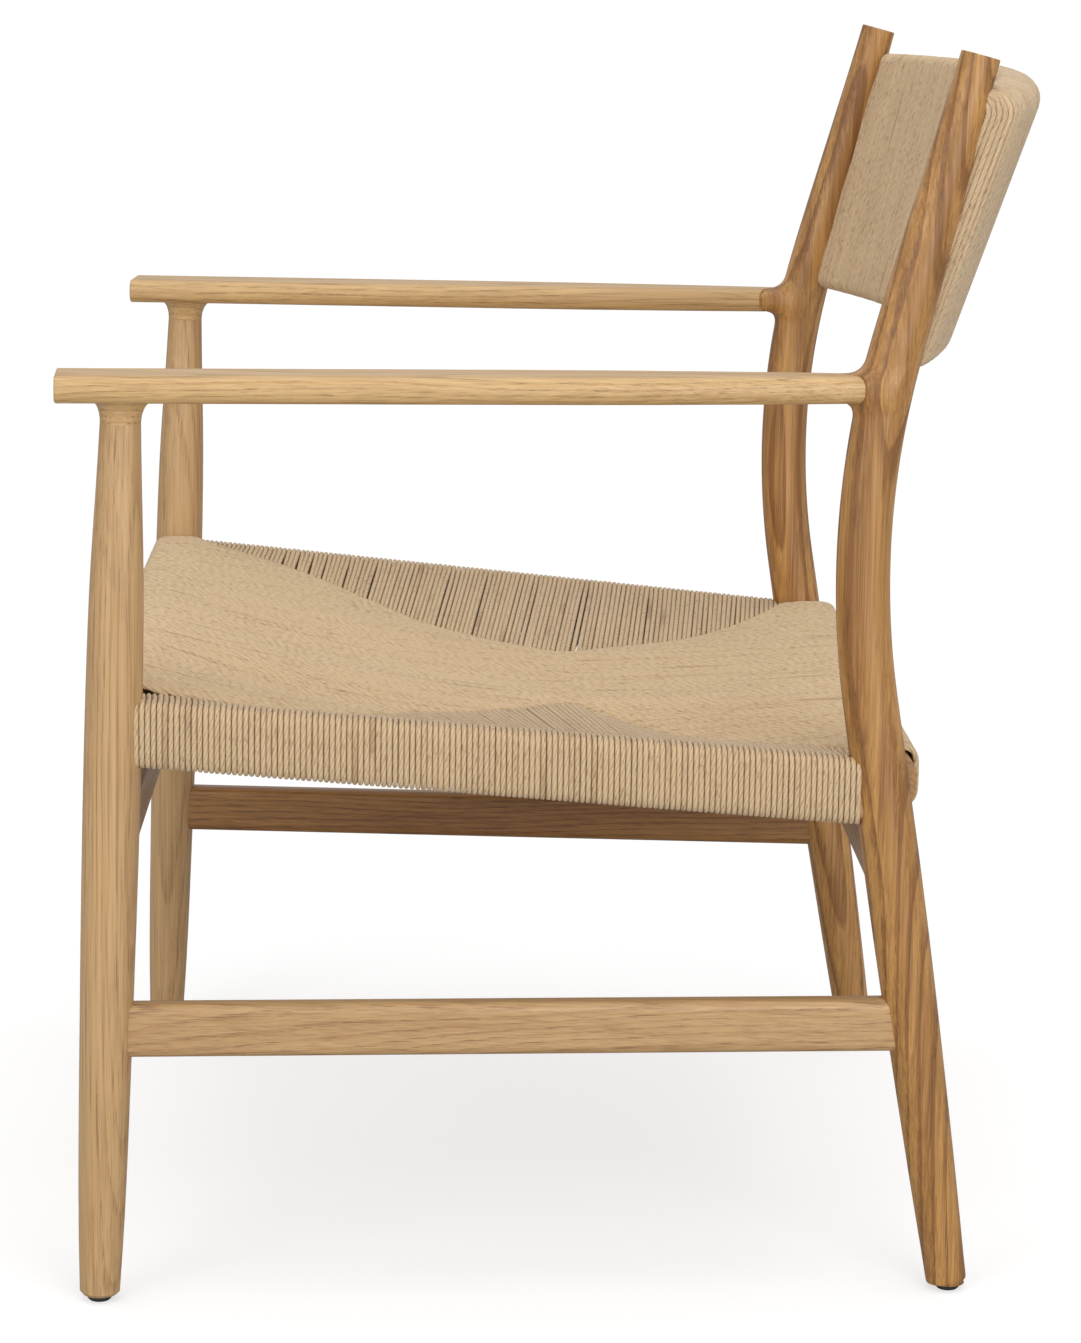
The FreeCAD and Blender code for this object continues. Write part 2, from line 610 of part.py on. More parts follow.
def add_backrest(pieces, legs, uncut):
    """Two curved rails tenoned into the posts, and the closed shape of the cord round them."""
    posts = [uncut["rear_leg_left"], uncut["rear_leg_right"]]
    heights = (-BACK_TOP_DROP - CORD - BACK_RAIL_HEIGHT / 2,
               -BACK_TOP_DROP - BACK_HEIGHT + CORD + BACK_RAIL_HEIGHT / 2)
    rails = []
    for name, corners, s in zip(("backrest_top_rail", "backrest_bottom_rail"), back_rail_outlines(), heights):
        body = largest(cut_all(back_sweep(corners, BACK_END + CORD), posts))
        tenon = back_tenon(s)
        pieces[name] = together([body, tenon, mirrored(tenon)])
        rails.append(pieces[name])
        mortise = back_tenon(s, JOINT_CLEARANCE)
        legs["rear_leg_left"] = legs["rear_leg_left"].cut(mortise)
        legs["rear_leg_right"] = legs["rear_leg_right"].cut(mirrored(mortise))
    pieces["backrest_weave"] = largest(cut_all(back_sweep(back_outline(), BACK_END), posts + rails))


def rail_nails(rail_line, front_rail, rear_rail):
    """Two nails on the inner face of each seat rail."""
    start, end = rail_line
    out = (side_point(0, 0, 1) - side_point(0, 0)).normalize()
    nails = []
    for share in CORD_NAIL_SHARES:
        nail = cord_nail(start + (end - start) * share - out * (SIDE_RAIL_WIDTH / 2), out)
        nails += [nail, mirrored(nail)]
    for (right, left), facing in ((front_rail, -1), (rear_rail, 1)):
        for side in (-1, 1):
            x = side * (left.x - FRONT_LEG_RADIUS - CORD_NAIL_INSET)
            point = Vector(x, left.y - facing * CROSS_RAIL_DEPTH / 2, left.z)
            nails.append(cord_nail(point, REARWARD * facing))
    return nails


def add_feet(pieces, legs):
    """A glide and its nail under each leg."""
    glides = []
    nails = []
    for v in (front_axis(0), rear_axis(0)):
        left = side_point(v, 0)
        for foot in (left, Vector(-left.x, left.y, 0)):
            nails.append(glide_nail(foot))
            glides.append(glide(foot).cut(nails[-1]))
    pieces["foot_glides"] = Part.makeCompound(glides)
    pieces["glide_nails"] = Part.makeCompound(nails)
    for name in legs:
        legs[name] = cut_all(legs[name], nails)


def main():
    blank = arm_blank()
    front_left = in_place(front_leg())
    rear_left = in_place(rear_leg(blank))
    legs = {"front_leg_left": front_left, "front_leg_right": mirrored(front_left),
            "rear_leg_left": rear_left, "rear_leg_right": mirrored(rear_left)}
    uncut = {name: shape.copy() for name, shape in legs.items()}

    left_arm = in_place(armrest(blank))
    left_dowels = [in_place(pin) for pin in arm_dowels()]
    pieces = {"armrest_left": left_arm, "armrest_right": mirrored(left_arm),
              "armrest_dowels": Part.makeCompound(left_dowels + [mirrored(pin) for pin in left_dowels])}

    rail_line = add_side_bars(pieces, legs, uncut)
    front_rail, rear_rail = add_cross_bars(pieces, legs, uncut)
    add_backrest(pieces, legs, uncut)

    nails = rail_nails(rail_line, front_rail, rear_rail)
    pieces["cord_nails"] = Part.makeCompound(nails)
    rail_names = ["seat_rail_left", "seat_rail_right", "seat_rail_front", "seat_rail_rear"]
    for name in rail_names:
        pieces[name] = cut_all(pieces[name], nails)
    pieces["seat_weave"] = seat_weave(list(uncut.values()), [pieces[name] for name in rail_names],
                                      (rail_line, front_rail, rear_rail), nails)
    add_feet(pieces, legs)

    pieces.update(legs)
    box = Part.makeCompound(list(pieces.values())).optimalBoundingBox()
    middle = (box.YMin + box.YMax) / 2
    os.makedirs("parts", exist_ok=True)
    for name, shape in pieces.items():
        shape.translate(REARWARD * -middle)
        shape.exportStep(os.path.join("parts", name + ".step"))
        print(name, shape.isValid(), len(shape.Solids), round(shape.Volume / 1000, 1))
    for name, foot in (("front", side_point(front_axis(0), 0)), ("rear", side_point(rear_axis(0), 0))):
        print(name, "foot", round(foot.x, 3), round(foot.y - middle, 3))


main()
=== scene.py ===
import math

import bpy
import numpy as np
from mathutils import Matrix, Vector


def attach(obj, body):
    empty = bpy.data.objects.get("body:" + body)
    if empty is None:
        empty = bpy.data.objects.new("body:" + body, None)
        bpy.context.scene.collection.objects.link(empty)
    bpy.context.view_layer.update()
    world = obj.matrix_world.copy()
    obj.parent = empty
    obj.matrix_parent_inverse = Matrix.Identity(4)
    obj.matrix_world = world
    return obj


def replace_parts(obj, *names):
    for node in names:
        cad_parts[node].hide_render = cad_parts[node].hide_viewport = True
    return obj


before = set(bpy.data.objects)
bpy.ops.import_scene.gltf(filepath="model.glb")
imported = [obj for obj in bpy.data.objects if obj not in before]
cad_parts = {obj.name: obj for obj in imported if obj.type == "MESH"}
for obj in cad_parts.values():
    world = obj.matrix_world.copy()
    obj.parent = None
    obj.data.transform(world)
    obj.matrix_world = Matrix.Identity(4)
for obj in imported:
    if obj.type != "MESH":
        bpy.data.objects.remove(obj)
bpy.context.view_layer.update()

# A low oak armchair with a woven paper-cord seat and back, in metres, in the frame of the packed
# model: x across (the sitter's left is +x), y from front to rear, z up. "Depth" below is measured
# rearwards from the front end of the armrests, which lies at y = FRONT.

FRONT = -0.309464
CORD_PITCH = 0.0035
CORD_RADIUS = 0.00172
CORD_SIDES = 8                  # corners of a strand's tube
TWIST_SPREAD = (0.8, 1.25)      # least and most twist of a strand, as a share of the usual one
SIDE_HALF_WIDTH = 0.3026        # from the middle of the chair to a side plane, at depth 0
SIDE_TAPER = 0.0575             # how much a side plane closes in per metre of depth

# ---- camera -----------------------------------------------------------------------------------


def set_camera():
    """Camera on the sitter's left, a little higher than the chair, looking across it and down. In
    radians, yaw turns it to the rear, pitch down and roll about its own line of sight."""
    place = (2.58233, 0.22543 + FRONT, 0.85697)
    yaw, pitch, roll = 0.0300113, 0.1954692, 0.0174775
    ahead = Vector((-math.cos(yaw) * math.cos(pitch), math.sin(yaw) * math.cos(pitch), -math.sin(pitch)))
    right = Vector((math.sin(yaw), math.cos(yaw), 0))
    up = right.cross(ahead)
    across = math.cos(roll) * right + math.sin(roll) * up
    upward = -math.sin(roll) * right + math.cos(roll) * up
    data = bpy.data.cameras.new("camera")
    data.sensor_fit = "VERTICAL"
    data.sensor_height = 36.0
    data.lens = 102.194
    data.clip_end = 50.0
    camera = bpy.data.objects.new("camera", data)
    bpy.context.scene.collection.objects.link(camera)
    turn = Matrix((across, upward, -ahead)).transposed().to_4x4()
    camera.matrix_world = Matrix.Translation(place) @ turn
    bpy.context.scene.camera = camera


set_camera()

# ---- meshes -----------------------------------------------------------------------------------


def mesh_piece(name, points, quads, uv, material, ends=None):
    """A smooth mesh object from points [n, 3], quads [q, 4], one UV pair per quad corner [q, 4, 2]
    and, if the shape has open ends, flat end faces [e, k] of k corners each."""
    mesh = bpy.data.meshes.new(name)
    corner_lists = [quads.reshape(-1)]
    sizes = [np.full(len(quads), 4)]
    uv_lists = [uv.reshape(-1, 2)]
    if ends is not None:
        corner_lists.append(ends.reshape(-1))
        sizes.append(np.full(len(ends), ends.shape[1]))
        uv_lists.append(np.zeros((ends.size, 2)))
    corners = np.concatenate(corner_lists)
    size = np.concatenate(sizes)
    starts = np.concatenate([[0], np.cumsum(size)[:-1]])
    mesh.vertices.add(len(points))
    mesh.vertices.foreach_set("co", points.reshape(-1).astype(np.float32))
    mesh.loops.add(len(corners))
    mesh.loops.foreach_set("vertex_index", corners.astype(np.int32))
    mesh.polygons.add(len(size))
    mesh.polygons.foreach_set("loop_start", starts.astype(np.int32))
    layer = mesh.uv_layers.new(name="along")
    layer.data.foreach_set("uv", np.concatenate(uv_lists).reshape(-1).astype(np.float32))
    mesh.update(calc_edges=True)
    mesh.polygons.foreach_set("use_smooth", np.ones(len(size), dtype=bool))
    mesh.materials.append(material)
    piece = bpy.data.objects.new(name, mesh)
    bpy.context.scene.collection.objects.link(piece)
    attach(piece, "root")
    return piece


chance = np.random.default_rng(7)


def cord_strands(name, paths, sideways, radius, material, closed=False):
    """Many strands of cord as tubes. paths [s, n, 3] are their centre lines, each in or near a plane
    whose normal is sideways [s, 3], and radius [s, 1] is their size. Ring point k of a strand is
    p + r (cos a_k sideways + sin a_k out), with out = sideways x tangent. UV: u is the length along
    the cord in metres, stretched a little and offset by a different amount on each strand; v is the
    strand's number plus the share of the way round it, a quarter at its outermost line."""
    strands, count, _ = paths.shape
    if closed:
        tangent = np.roll(paths, -1, axis=1) - np.roll(paths, 1, axis=1)
    else:
        tangent = np.gradient(paths, axis=1)
    tangent /= np.linalg.norm(tangent, axis=2, keepdims=True)
    side = np.broadcast_to(sideways[:, None, :], paths.shape)
    out = np.cross(side, tangent)
    out /= np.linalg.norm(out, axis=2, keepdims=True)
    angle = 2 * np.pi * np.arange(CORD_SIDES) / CORD_SIDES
    ring = (np.cos(angle)[None, None, :, None] * side[:, :, None, :]
            + np.sin(angle)[None, None, :, None] * out[:, :, None, :])
    points = paths[:, :, None, :] + radius[:, :, None, None] * ring
    index = np.arange(strands * count * CORD_SIDES).reshape(strands, count, CORD_SIDES)
    following = np.roll(index, -1, axis=1) if closed else index[:, 1:]
    first = index if closed else index[:, :-1]
    quads = np.stack([first, following, np.roll(following, -1, axis=2), np.roll(first, -1, axis=2)], axis=-1)
    step = np.roll(paths, -1, axis=1) - paths if closed else np.diff(paths, axis=1)
    step = np.linalg.norm(step, axis=2)
    start = np.cumsum(step, axis=1) - step + chance.uniform(0, 1, (strands, 1))
    twist = chance.uniform(*TWIST_SPREAD, (strands, 1))
    start, step = start * twist, step * twist
    u0 = np.broadcast_to(start[:, :, None], first.shape)
    u1 = np.broadcast_to((start + step)[:, :, None], first.shape)
    v0 = np.arange(CORD_SIDES)[None, None, :] / CORD_SIDES + np.arange(strands)[:, None, None]
    v0 = np.broadcast_to(v0, first.shape)
    v1 = v0 + 1.0 / CORD_SIDES
    uv = np.stack([np.stack([u0, v0], -1), np.stack([u1, v0], -1),
                   np.stack([u1, v1], -1), np.stack([u0, v1], -1)], axis=-2)
    ends = None
    if not closed:
        ends = np.concatenate([index[:, 0], index[:, -1, ::-1]])
    return mesh_piece(name, points.reshape(-1, 3), quads.reshape(-1, 4), uv.reshape(-1, 4, 2), material, ends)


# ---- node groups ------------------------------------------------------------------------------


class Nodes:
    """Short calls for building one node tree. Values may be numbers, tuples or output sockets."""

    def __init__(self, tree):
        self.tree = tree

    def add(self, kind, **settings):
        node = self.tree.nodes.new(kind)
        for key, value in settings.items():
            setattr(node, key, value)
        return node

    def link(self, source, target):
        self.tree.links.new(source, target)

    def put(self, value, socket):
        """Link value to the socket if it is an output, else set it there."""
        if hasattr(value, "is_output"):
            self.link(value, socket)
        else:
            socket.default_value = value

    def math(self, operation, a, b=0.0, clamp=False):
        """a and b joined by one of the Math node's operations."""
        node = self.add("ShaderNodeMath", operation=operation, use_clamp=clamp)
        self.put(a, node.inputs[0])
        self.put(b, node.inputs[1])
        return node.outputs[0]

    def stretch(self, vector, scale):
        """Each coordinate of vector times its own scale."""
        node = self.add("ShaderNodeVectorMath", operation="MULTIPLY")
        self.put(vector, node.inputs[0])
        self.put(scale, node.inputs[1])
        return node.outputs[0]

    def noise(self, vector, detail=2.0, rough=0.5):
        """Noise whose lumps are about one unit of vector wide."""
        node = self.add("ShaderNodeTexNoise")
        self.put(vector, node.inputs["Vector"])
        self.put(1.0, node.inputs["Scale"])
        self.put(detail, node.inputs["Detail"])
        self.put(rough, node.inputs["Roughness"])
        return node.outputs["Fac"]

    def even_noise(self, vector, scale, detail=2.0, rough=0.6):
        """Noise with scale lumps to the metre, the same in all directions."""
        return self.noise(self.stretch(vector, (scale, scale, scale)), detail, rough)

    def span(self, value, low, high, to_low=0.0, to_high=1.0):
        """value from low..high mapped to to_low..to_high and held at the ends."""
        node = self.add("ShaderNodeMapRange", clamp=True)
        self.put(value, node.inputs["Value"])
        self.put(low, node.inputs["From Min"])
        self.put(high, node.inputs["From Max"])
        self.put(to_low, node.inputs["To Min"])
        self.put(to_high, node.inputs["To Max"])
        return node.outputs["Result"]

    def mix(self, share, a, b):
        """Colour a for share 0, b for share 1, between them otherwise."""
        node = self.add("ShaderNodeMix", data_type="RGBA")
        self.put(share, node.inputs["Factor"])
        self.put(a, node.inputs[6])
        self.put(b, node.inputs[7])
        return node.outputs[2]


def new_group(name, inputs, outputs):
    """An empty shader group with named sockets, and its input and output nodes."""
    tree = bpy.data.node_groups.new(name, "ShaderNodeTree")
    for label, kind, value in inputs:
        socket = tree.interface.new_socket(name=label, in_out="INPUT", socket_type=kind)
        if value is not None:
            socket.default_value = value
    for label, kind in outputs:
        tree.interface.new_socket(name=label, in_out="OUTPUT", socket_type=kind)
    return tree, Nodes(tree), tree.nodes.new("NodeGroupInput"), tree.nodes.new("NodeGroupOutput")


def oak_grain_group():
    """Oak with its grain along z: growth rings about a far pith, wandering slowly along the grain,
    open pores as short dark dashes, and fine fibres."""
    tree, n, enter, leave = new_group(
        "oak_grain",
        [("Vector", "NodeSocketVector", None), ("Light", "NodeSocketColor", None),
         ("Dark", "NodeSocketColor", None), ("Pore", "NodeSocketColor", None),
         ("Ring Spacing", "NodeSocketFloat", 0.004), ("Figure", "NodeSocketFloat", 0.5)],
        [("Color", "NodeSocketColor"), ("Roughness", "NodeSocketFloat"), ("Height", "NodeSocketFloat")])
    place = enter.outputs["Vector"]
    # rings: distance from the pith, bent by a slow drift and smaller waves
    wander = n.noise(n.stretch(place, (9.0, 9.0, 1.6)))
    sway = n.noise(n.stretch(place, (30.0, 30.0, 3.5)))
    parts = n.add("ShaderNodeSeparateXYZ")
    n.link(place, parts.inputs[0])
    reach = n.math("SQRT", n.math("ADD", n.math("MULTIPLY", parts.outputs[0], parts.outputs[0]),
                                  n.math("MULTIPLY", parts.outputs[1], parts.outputs[1])))
    reach = n.math("ADD", reach, n.math("MULTIPLY", wander, 0.055))
    reach = n.math("ADD", reach, n.math("MULTIPLY", sway, 0.007))
    ring = n.math("FRACT", n.math("DIVIDE", reach, enter.outputs["Ring Spacing"]))
    early = n.span(ring, 0.55, 1.0)
    early = n.math("MULTIPLY", early, n.span(ring, 1.0, 0.93))
    # long thin noises: fibres, streaks and broad bands
    fibre = n.noise(n.stretch(place, (1500.0, 1500.0, 14.0)), 3.0, 0.65)
    streak = n.noise(n.stretch(place, (520.0, 520.0, 3.5)), 3.0, 0.65)
    broad = n.noise(n.stretch(place, (70.0, 70.0, 2.0)))
    # tone: 0 is the light wood and 1 the dark
    tone = n.math("MULTIPLY", early, enter.outputs["Figure"])
    tone = n.math("ADD", tone, n.math("MULTIPLY", n.span(streak, 0.38, 0.66), 0.5))
    bands = n.math("MULTIPLY", n.span(broad, 0.36, 0.68), enter.outputs["Figure"])
    tone = n.math("ADD", tone, n.math("MULTIPLY", bands, 0.8))
    tone = n.math("ADD", tone, n.math("MULTIPLY", n.math("SUBTRACT", fibre, 0.5), 0.9))
    tone = n.math("SUBTRACT", tone, 0.12, clamp=True)
    colour = n.mix(tone, enter.outputs["Light"], enter.outputs["Dark"])
    # pores: short dashes, most of them in the early wood
    dash = n.noise(n.stretch(place, (1150.0, 1150.0, 11.0)), rough=0.6)
    pores = n.math("MULTIPLY", n.span(dash, 0.52, 0.64), n.span(early, 0.0, 0.6, 0.45, 1.0))
    colour = n.mix(n.math("MULTIPLY", pores, 0.6), colour, enter.outputs["Pore"])
    n.link(colour, leave.inputs["Color"])
    n.link(n.span(tone, 0.0, 1.0, 0.40, 0.52), leave.inputs["Roughness"])
    height = n.math("SUBTRACT", n.math("MULTIPLY", fibre, 0.25), n.math("MULTIPLY", pores, 0.75))
    n.link(height, leave.inputs["Height"])
    return tree


def cord_twist_group():
    """Paper cord: three plies twisted together, so slanting grooves that follow the strand's own UV
    (u in metres along it; v the strand's number plus the share of the way round), with painted shade
    in the grooves between the plies and on each strand's flanks towards its neighbours, uneven
    strands, short flecks and small creases in the paper."""
    tree, n, enter, leave = new_group(
        "cord_twist",
        [("UV", "NodeSocketVector", None), ("Vector", "NodeSocketVector", None),
         ("Light", "NodeSocketColor", None), ("Dark", "NodeSocketColor", None),
         ("Lay", "NodeSocketFloat", 0.021), ("Ply Contrast", "NodeSocketFloat", 0.4)],
        [("Color", "NodeSocketColor"), ("Roughness", "NodeSocketFloat"), ("Height", "NodeSocketFloat")])
    parts = n.add("ShaderNodeSeparateXYZ")
    n.link(enter.outputs["UV"], parts.inputs[0])
    turns = n.math("DIVIDE", parts.outputs[0], enter.outputs["Lay"])
    phase = n.math("FRACT", n.math("MULTIPLY", n.math("ADD", turns, parts.outputs[1]), 3.0))
    ply = n.math("SINE", n.math("MULTIPLY", phase, math.pi))
    ply = n.math("POWER", n.math("MAXIMUM", ply, 0.0), 0.55)
    crease = n.even_noise(enter.outputs["Vector"], 900.0)
    broad = n.even_noise(enter.outputs["Vector"], 14.0, rough=0.5)
    # streaks that change from strand to strand and slowly along it, and short flecks
    strand = n.math("FLOOR", parts.outputs[1])
    around = n.math("FRACT", parts.outputs[1])
    along = n.add("ShaderNodeCombineXYZ")
    n.link(n.math("MULTIPLY", strand, 7.31), along.inputs[0])
    n.link(n.math("MULTIPLY", parts.outputs[0], 7.0), along.inputs[1])
    streak = n.noise(along.outputs[0], rough=0.6)
    short = n.add("ShaderNodeCombineXYZ")
    n.link(n.math("MULTIPLY", strand, 3.17), short.inputs[0])
    n.link(n.math("MULTIPLY", parts.outputs[0], 150.0), short.inputs[1])
    n.link(n.math("MULTIPLY", around, 4.0), short.inputs[2])
    fleck = n.noise(short.outputs[0], rough=0.6)
    # tone: 0 is the dark paper and 1 the light; painted shade on each strand's flanks, in the groove between
    # neighbours, darkens it
    groove_shade = n.span(n.math("ABSOLUTE", n.math("SUBTRACT", around, 0.25)), 0.10, 0.25, 1.0, 0.45)
    # the ply term darkens the grooves between the twisted plies: painted shade there, besides the bump
    tone = n.math("MULTIPLY", n.span(ply, 0.0, 0.7), enter.outputs["Ply Contrast"])
    tone = n.math("ADD", tone, n.math("MULTIPLY", n.span(crease, 0.34, 0.62), 0.2))
    tone = n.math("ADD", tone, n.math("MULTIPLY", n.span(streak, 0.32, 0.62), 0.42))
    tone = n.math("ADD", tone, n.math("MULTIPLY", n.span(broad, 0.3, 0.7), 0.1))
    tone = n.math("ADD", tone, 0.14)
    tone = n.math("SUBTRACT", tone, n.math("MULTIPLY", n.span(streak, 0.36, 0.28), 0.55))
    tone = n.math("SUBTRACT", tone, n.math("MULTIPLY", n.span(fleck, 0.56, 0.66), 0.6), clamp=True)
    tone = n.math("MULTIPLY", tone, groove_shade)
    n.link(n.mix(tone, enter.outputs["Dark"], enter.outputs["Light"]), leave.inputs["Color"])
    n.link(n.span(crease, 0.2, 0.8, 0.62, 0.8), leave.inputs["Roughness"])
    height = n.math("MULTIPLY", ply, n.span(enter.outputs["Ply Contrast"], 0.0, 0.4))
    height = n.math("ADD", height, n.math("MULTIPLY", crease, 0.18))
    n.link(height, leave.inputs["Height"])
    return tree


OAK = oak_grain_group()
TWIST = cord_twist_group()
GRAIN_DEPTH = 0.00012
TWIST_DEPTH = 0.00055


def surface_material(name):
    """A new material, its node calls and its Principled shader."""
    material = bpy.data.materials.new(name)
    material.use_nodes = True
    n = Nodes(material.node_tree)
    shader = material.node_tree.nodes["Principled BSDF"]
    return material, n, shader


def finish_with(n, group, shader, depth):
    """Colour, roughness and a bump of the given depth in metres from a group to the shader."""
    n.link(group.outputs["Color"], shader.inputs["Base Color"])
    n.link(group.outputs["Roughness"], shader.inputs["Roughness"])
    bump = n.add("ShaderNodeBump")
    bump.inputs["Strength"].default_value = 1.0
    bump.inputs["Distance"].default_value = depth
    n.link(group.outputs["Height"], bump.inputs["Height"])
    n.link(bump.outputs["Normal"], shader.inputs["Normal"])


def oak(name, along, light, dark, pore, pith=(0.035, 0.05, 0.0), spacing=0.0042, figure=0.5, sheen=0.25):
    """Oiled oak. along is the turn (x, y, z in degrees) that lays the piece's grain on z; pith is
    where the heart of the tree lies beside the piece."""
    material, n, shader = surface_material(name)
    place = n.add("ShaderNodeTexCoord")
    mapping = n.add("ShaderNodeMapping")
    mapping.inputs["Rotation"].default_value = [math.radians(a) for a in along]
    mapping.inputs["Location"].default_value = pith
    n.link(place.outputs["Object"], mapping.inputs["Vector"])
    group = n.add("ShaderNodeGroup", node_tree=OAK)
    n.link(mapping.outputs["Vector"], group.inputs["Vector"])
    group.inputs["Light"].default_value = (*light, 1.0)
    group.inputs["Dark"].default_value = (*dark, 1.0)
    group.inputs["Pore"].default_value = (*pore, 1.0)
    group.inputs["Ring Spacing"].default_value = spacing
    group.inputs["Figure"].default_value = figure
    finish_with(n, group, shader, GRAIN_DEPTH)
    shader.inputs["Coat Weight"].default_value = sheen
    shader.inputs["Coat Roughness"].default_value = 0.38
    return material


def paper_cord(name, light, dark, contrast):
    """Twisted paper cord; contrast is how much the plies show, in the bump and as painted shade in the
    grooves between them.
    """
    material, n, shader = surface_material(name)
    place = n.add("ShaderNodeTexCoord")
    group = n.add("ShaderNodeGroup", node_tree=TWIST)
    n.link(place.outputs["UV"], group.inputs["UV"])
    n.link(place.outputs["Object"], group.inputs["Vector"])
    group.inputs["Light"].default_value = (*light, 1.0)
    group.inputs["Dark"].default_value = (*dark, 1.0)
    group.inputs["Ply Contrast"].default_value = contrast
    finish_with(n, group, shader, TWIST_DEPTH)
    shader.inputs["Sheen Weight"].default_value = 0.15
    shader.inputs["Sheen Roughness"].default_value = 0.5
    return material


# each oak: the turn that lays its grain on z, then its light, dark and pore colours
ARM_OAK = oak("oak_armrest", (90, 0, 0), (0.66, 0.43, 0.19), (0.44, 0.25, 0.09), (0.20, 0.10, 0.04),
              pith=(0.05, -0.52, 0.02), figure=0.45)
LEG_OAK = oak("oak_front_leg", (0, 0, 0), (0.60, 0.38, 0.175), (0.42, 0.23, 0.09), (0.18, 0.09, 0.035),
              pith=(-0.25, 0.34, 0.0), figure=0.45)
POST_OAK = oak("oak_rear_leg", (0, 0, 0), (0.57, 0.295, 0.085), (0.27, 0.112, 0.024), (0.10, 0.042, 0.012),
               pith=(-0.24, -0.17, 0.0), spacing=0.009, figure=0.85)
BAR_OAK = oak("oak_side_bar", (90, 0, 0), (0.57, 0.36, 0.165), (0.40, 0.22, 0.09), (0.18, 0.09, 0.035),
              pith=(0.05, -0.12, 0.0), figure=0.5)
# the far side stretcher's oak: the side bar's oak made darker and browner, as painted shade for the seat's
# shadow that falls on it
PAINTED_SHADE_BAR_OAK = oak("oak_side_bar_painted_shade", (90, 0, 0), (0.38, 0.18, 0.05), (0.20, 0.08, 0.02),
                    (0.08, 0.035, 0.01), pith=(0.11, -0.12, 0.0), figure=0.6)
CROSS_OAK = oak("oak_cross_bar", (0, 90, 0), (0.48, 0.27, 0.11), (0.31, 0.155, 0.055), (0.14, 0.065, 0.025),
                pith=(0.2, 0.25, 0.0), figure=0.5)
DOWEL_OAK = oak("dowel_wood", (90, 0, 0), (0.72, 0.55, 0.34), (0.6, 0.42, 0.24), (0.4, 0.26, 0.14))
CORD = paper_cord("paper_cord", (0.93, 0.73, 0.46), (0.42, 0.265, 0.13), 0.5)
BACK_CORD = paper_cord("backrest_paper_cord", (0.94, 0.735, 0.48), (0.45, 0.30, 0.165), 0.22)


def glide_plastic():
    """Black plastic with a fine dull grain."""
    material, n, shader = surface_material("glide_plastic")
    place = n.add("ShaderNodeTexCoord")
    grain = n.even_noise(place.outputs["Object"], 2200.0)
    n.link(n.span(grain, 0.3, 0.7, 0.42, 0.6), shader.inputs["Roughness"])
    n.link(n.mix(grain, (0.018, 0.018, 0.019, 1.0), (0.032, 0.031, 0.03, 1.0)), shader.inputs["Base Color"])
    return material


def nail_steel():
    """Bright drawn steel."""
    material, n, shader = surface_material("nail_steel")
    place = n.add("ShaderNodeTexCoord")
    grain = n.even_noise(place.outputs["Object"], 900.0, 3.0)
    n.link(n.span(grain, 0.3, 0.7, 0.28, 0.42), shader.inputs["Roughness"])
    n.link(n.mix(grain, (0.5, 0.5, 0.5, 1.0), (0.66, 0.65, 0.63, 1.0)), shader.inputs["Base Color"])
    shader.inputs["Metallic"].default_value = 1.0
    return material


GLIDE = glide_plastic()
STEEL = nail_steel()

NODE_MATERIALS = {
    "front_leg_left": LEG_OAK, "front_leg_right": LEG_OAK,
    "rear_leg_left": POST_OAK, "rear_leg_right": POST_OAK,
    "armrest_left": ARM_OAK, "armrest_right": ARM_OAK, "armrest_dowels": DOWEL_OAK,
    # the far side stretcher takes the oak with painted shade
    "side_stretcher_left": BAR_OAK, "side_stretcher_right": PAINTED_SHADE_BAR_OAK,
    "seat_rail_left": BAR_OAK, "seat_rail_right": BAR_OAK,
    "front_cross_stretcher": CROSS_OAK, "rear_cross_stretcher": CROSS_OAK,
    "seat_rail_front": CROSS_OAK, "seat_rail_rear": CROSS_OAK,
    "backrest_top_rail": CROSS_OAK, "backrest_bottom_rail": CROSS_OAK,
    "foot_glides": GLIDE, "glide_nails": STEEL, "cord_nails": STEEL}
for node_name, node_material in NODE_MATERIALS.items():
    for material_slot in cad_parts[node_name].material_slots:
        material_slot.material = node_material

# ---- rear legs --------------------------------------------------------------------------------

GLIDE_HEIGHT = 0.004            # the legs stand on glides of this height
POST_TOP = 0.780
LEG_APEX = (0.4931, 0.472)      # depth and height of the foremost point of the leg's centre line
LEG_BEND = 0.538                # radius of its bend
LEG_RAKE, LEG_LEAN = math.radians(9.3), math.radians(14.2)      # below and above the bend
LEG_RADIUS = 0.0178             # at its thickest
LEG_SIDES = 96
# the turned profile: share of the leg's height, and of its largest radius there
LEG_SHAPE = [(0.0, 0.71), (0.08, 0.82), (0.17, 0.905), (0.27, 0.978), (0.35, 1.0), (0.43, 0.978),
             (0.54, 0.945), (0.65, 0.93), (0.76, 0.933), (0.81, 0.91), (0.85, 0.855), (0.90, 0.785),
             (0.95, 0.72), (1.0, 0.675)]
ARM_MIDDLE = 0.578              # height of the middle of the armrest's end
ARM_JOINT = 0.480               # depth of the joint between armrest and post, on the side plane
ARM_SKEW = math.radians(31)     # turn of that joint's face, seen from above
ARM_END = (0.0145, 0.0085, 0.0072)   # half width, half thickness and edge radius of the armrest there
BLEND = 0.011                   # how far the post's wood runs out along the armrest's end
JOINT_HALF_HEIGHT = 0.019       # the joint's cut reaches this far above and below the middle
BOSS_ZONE = 0.04                # the rings this near the middle are worked out with the boss
BOSS_FADE = (0.028, 0.010)      # from this far away the round leg takes over, within this height
FOOT_CHAMFER = 0.002            # how much narrower the leg is at its foot
FOOT_CHAMFER_TOP = 0.0062       # height of the chamfer's upper edge
TOP_EDGE = 0.0004               # the small bevel at the top of the post


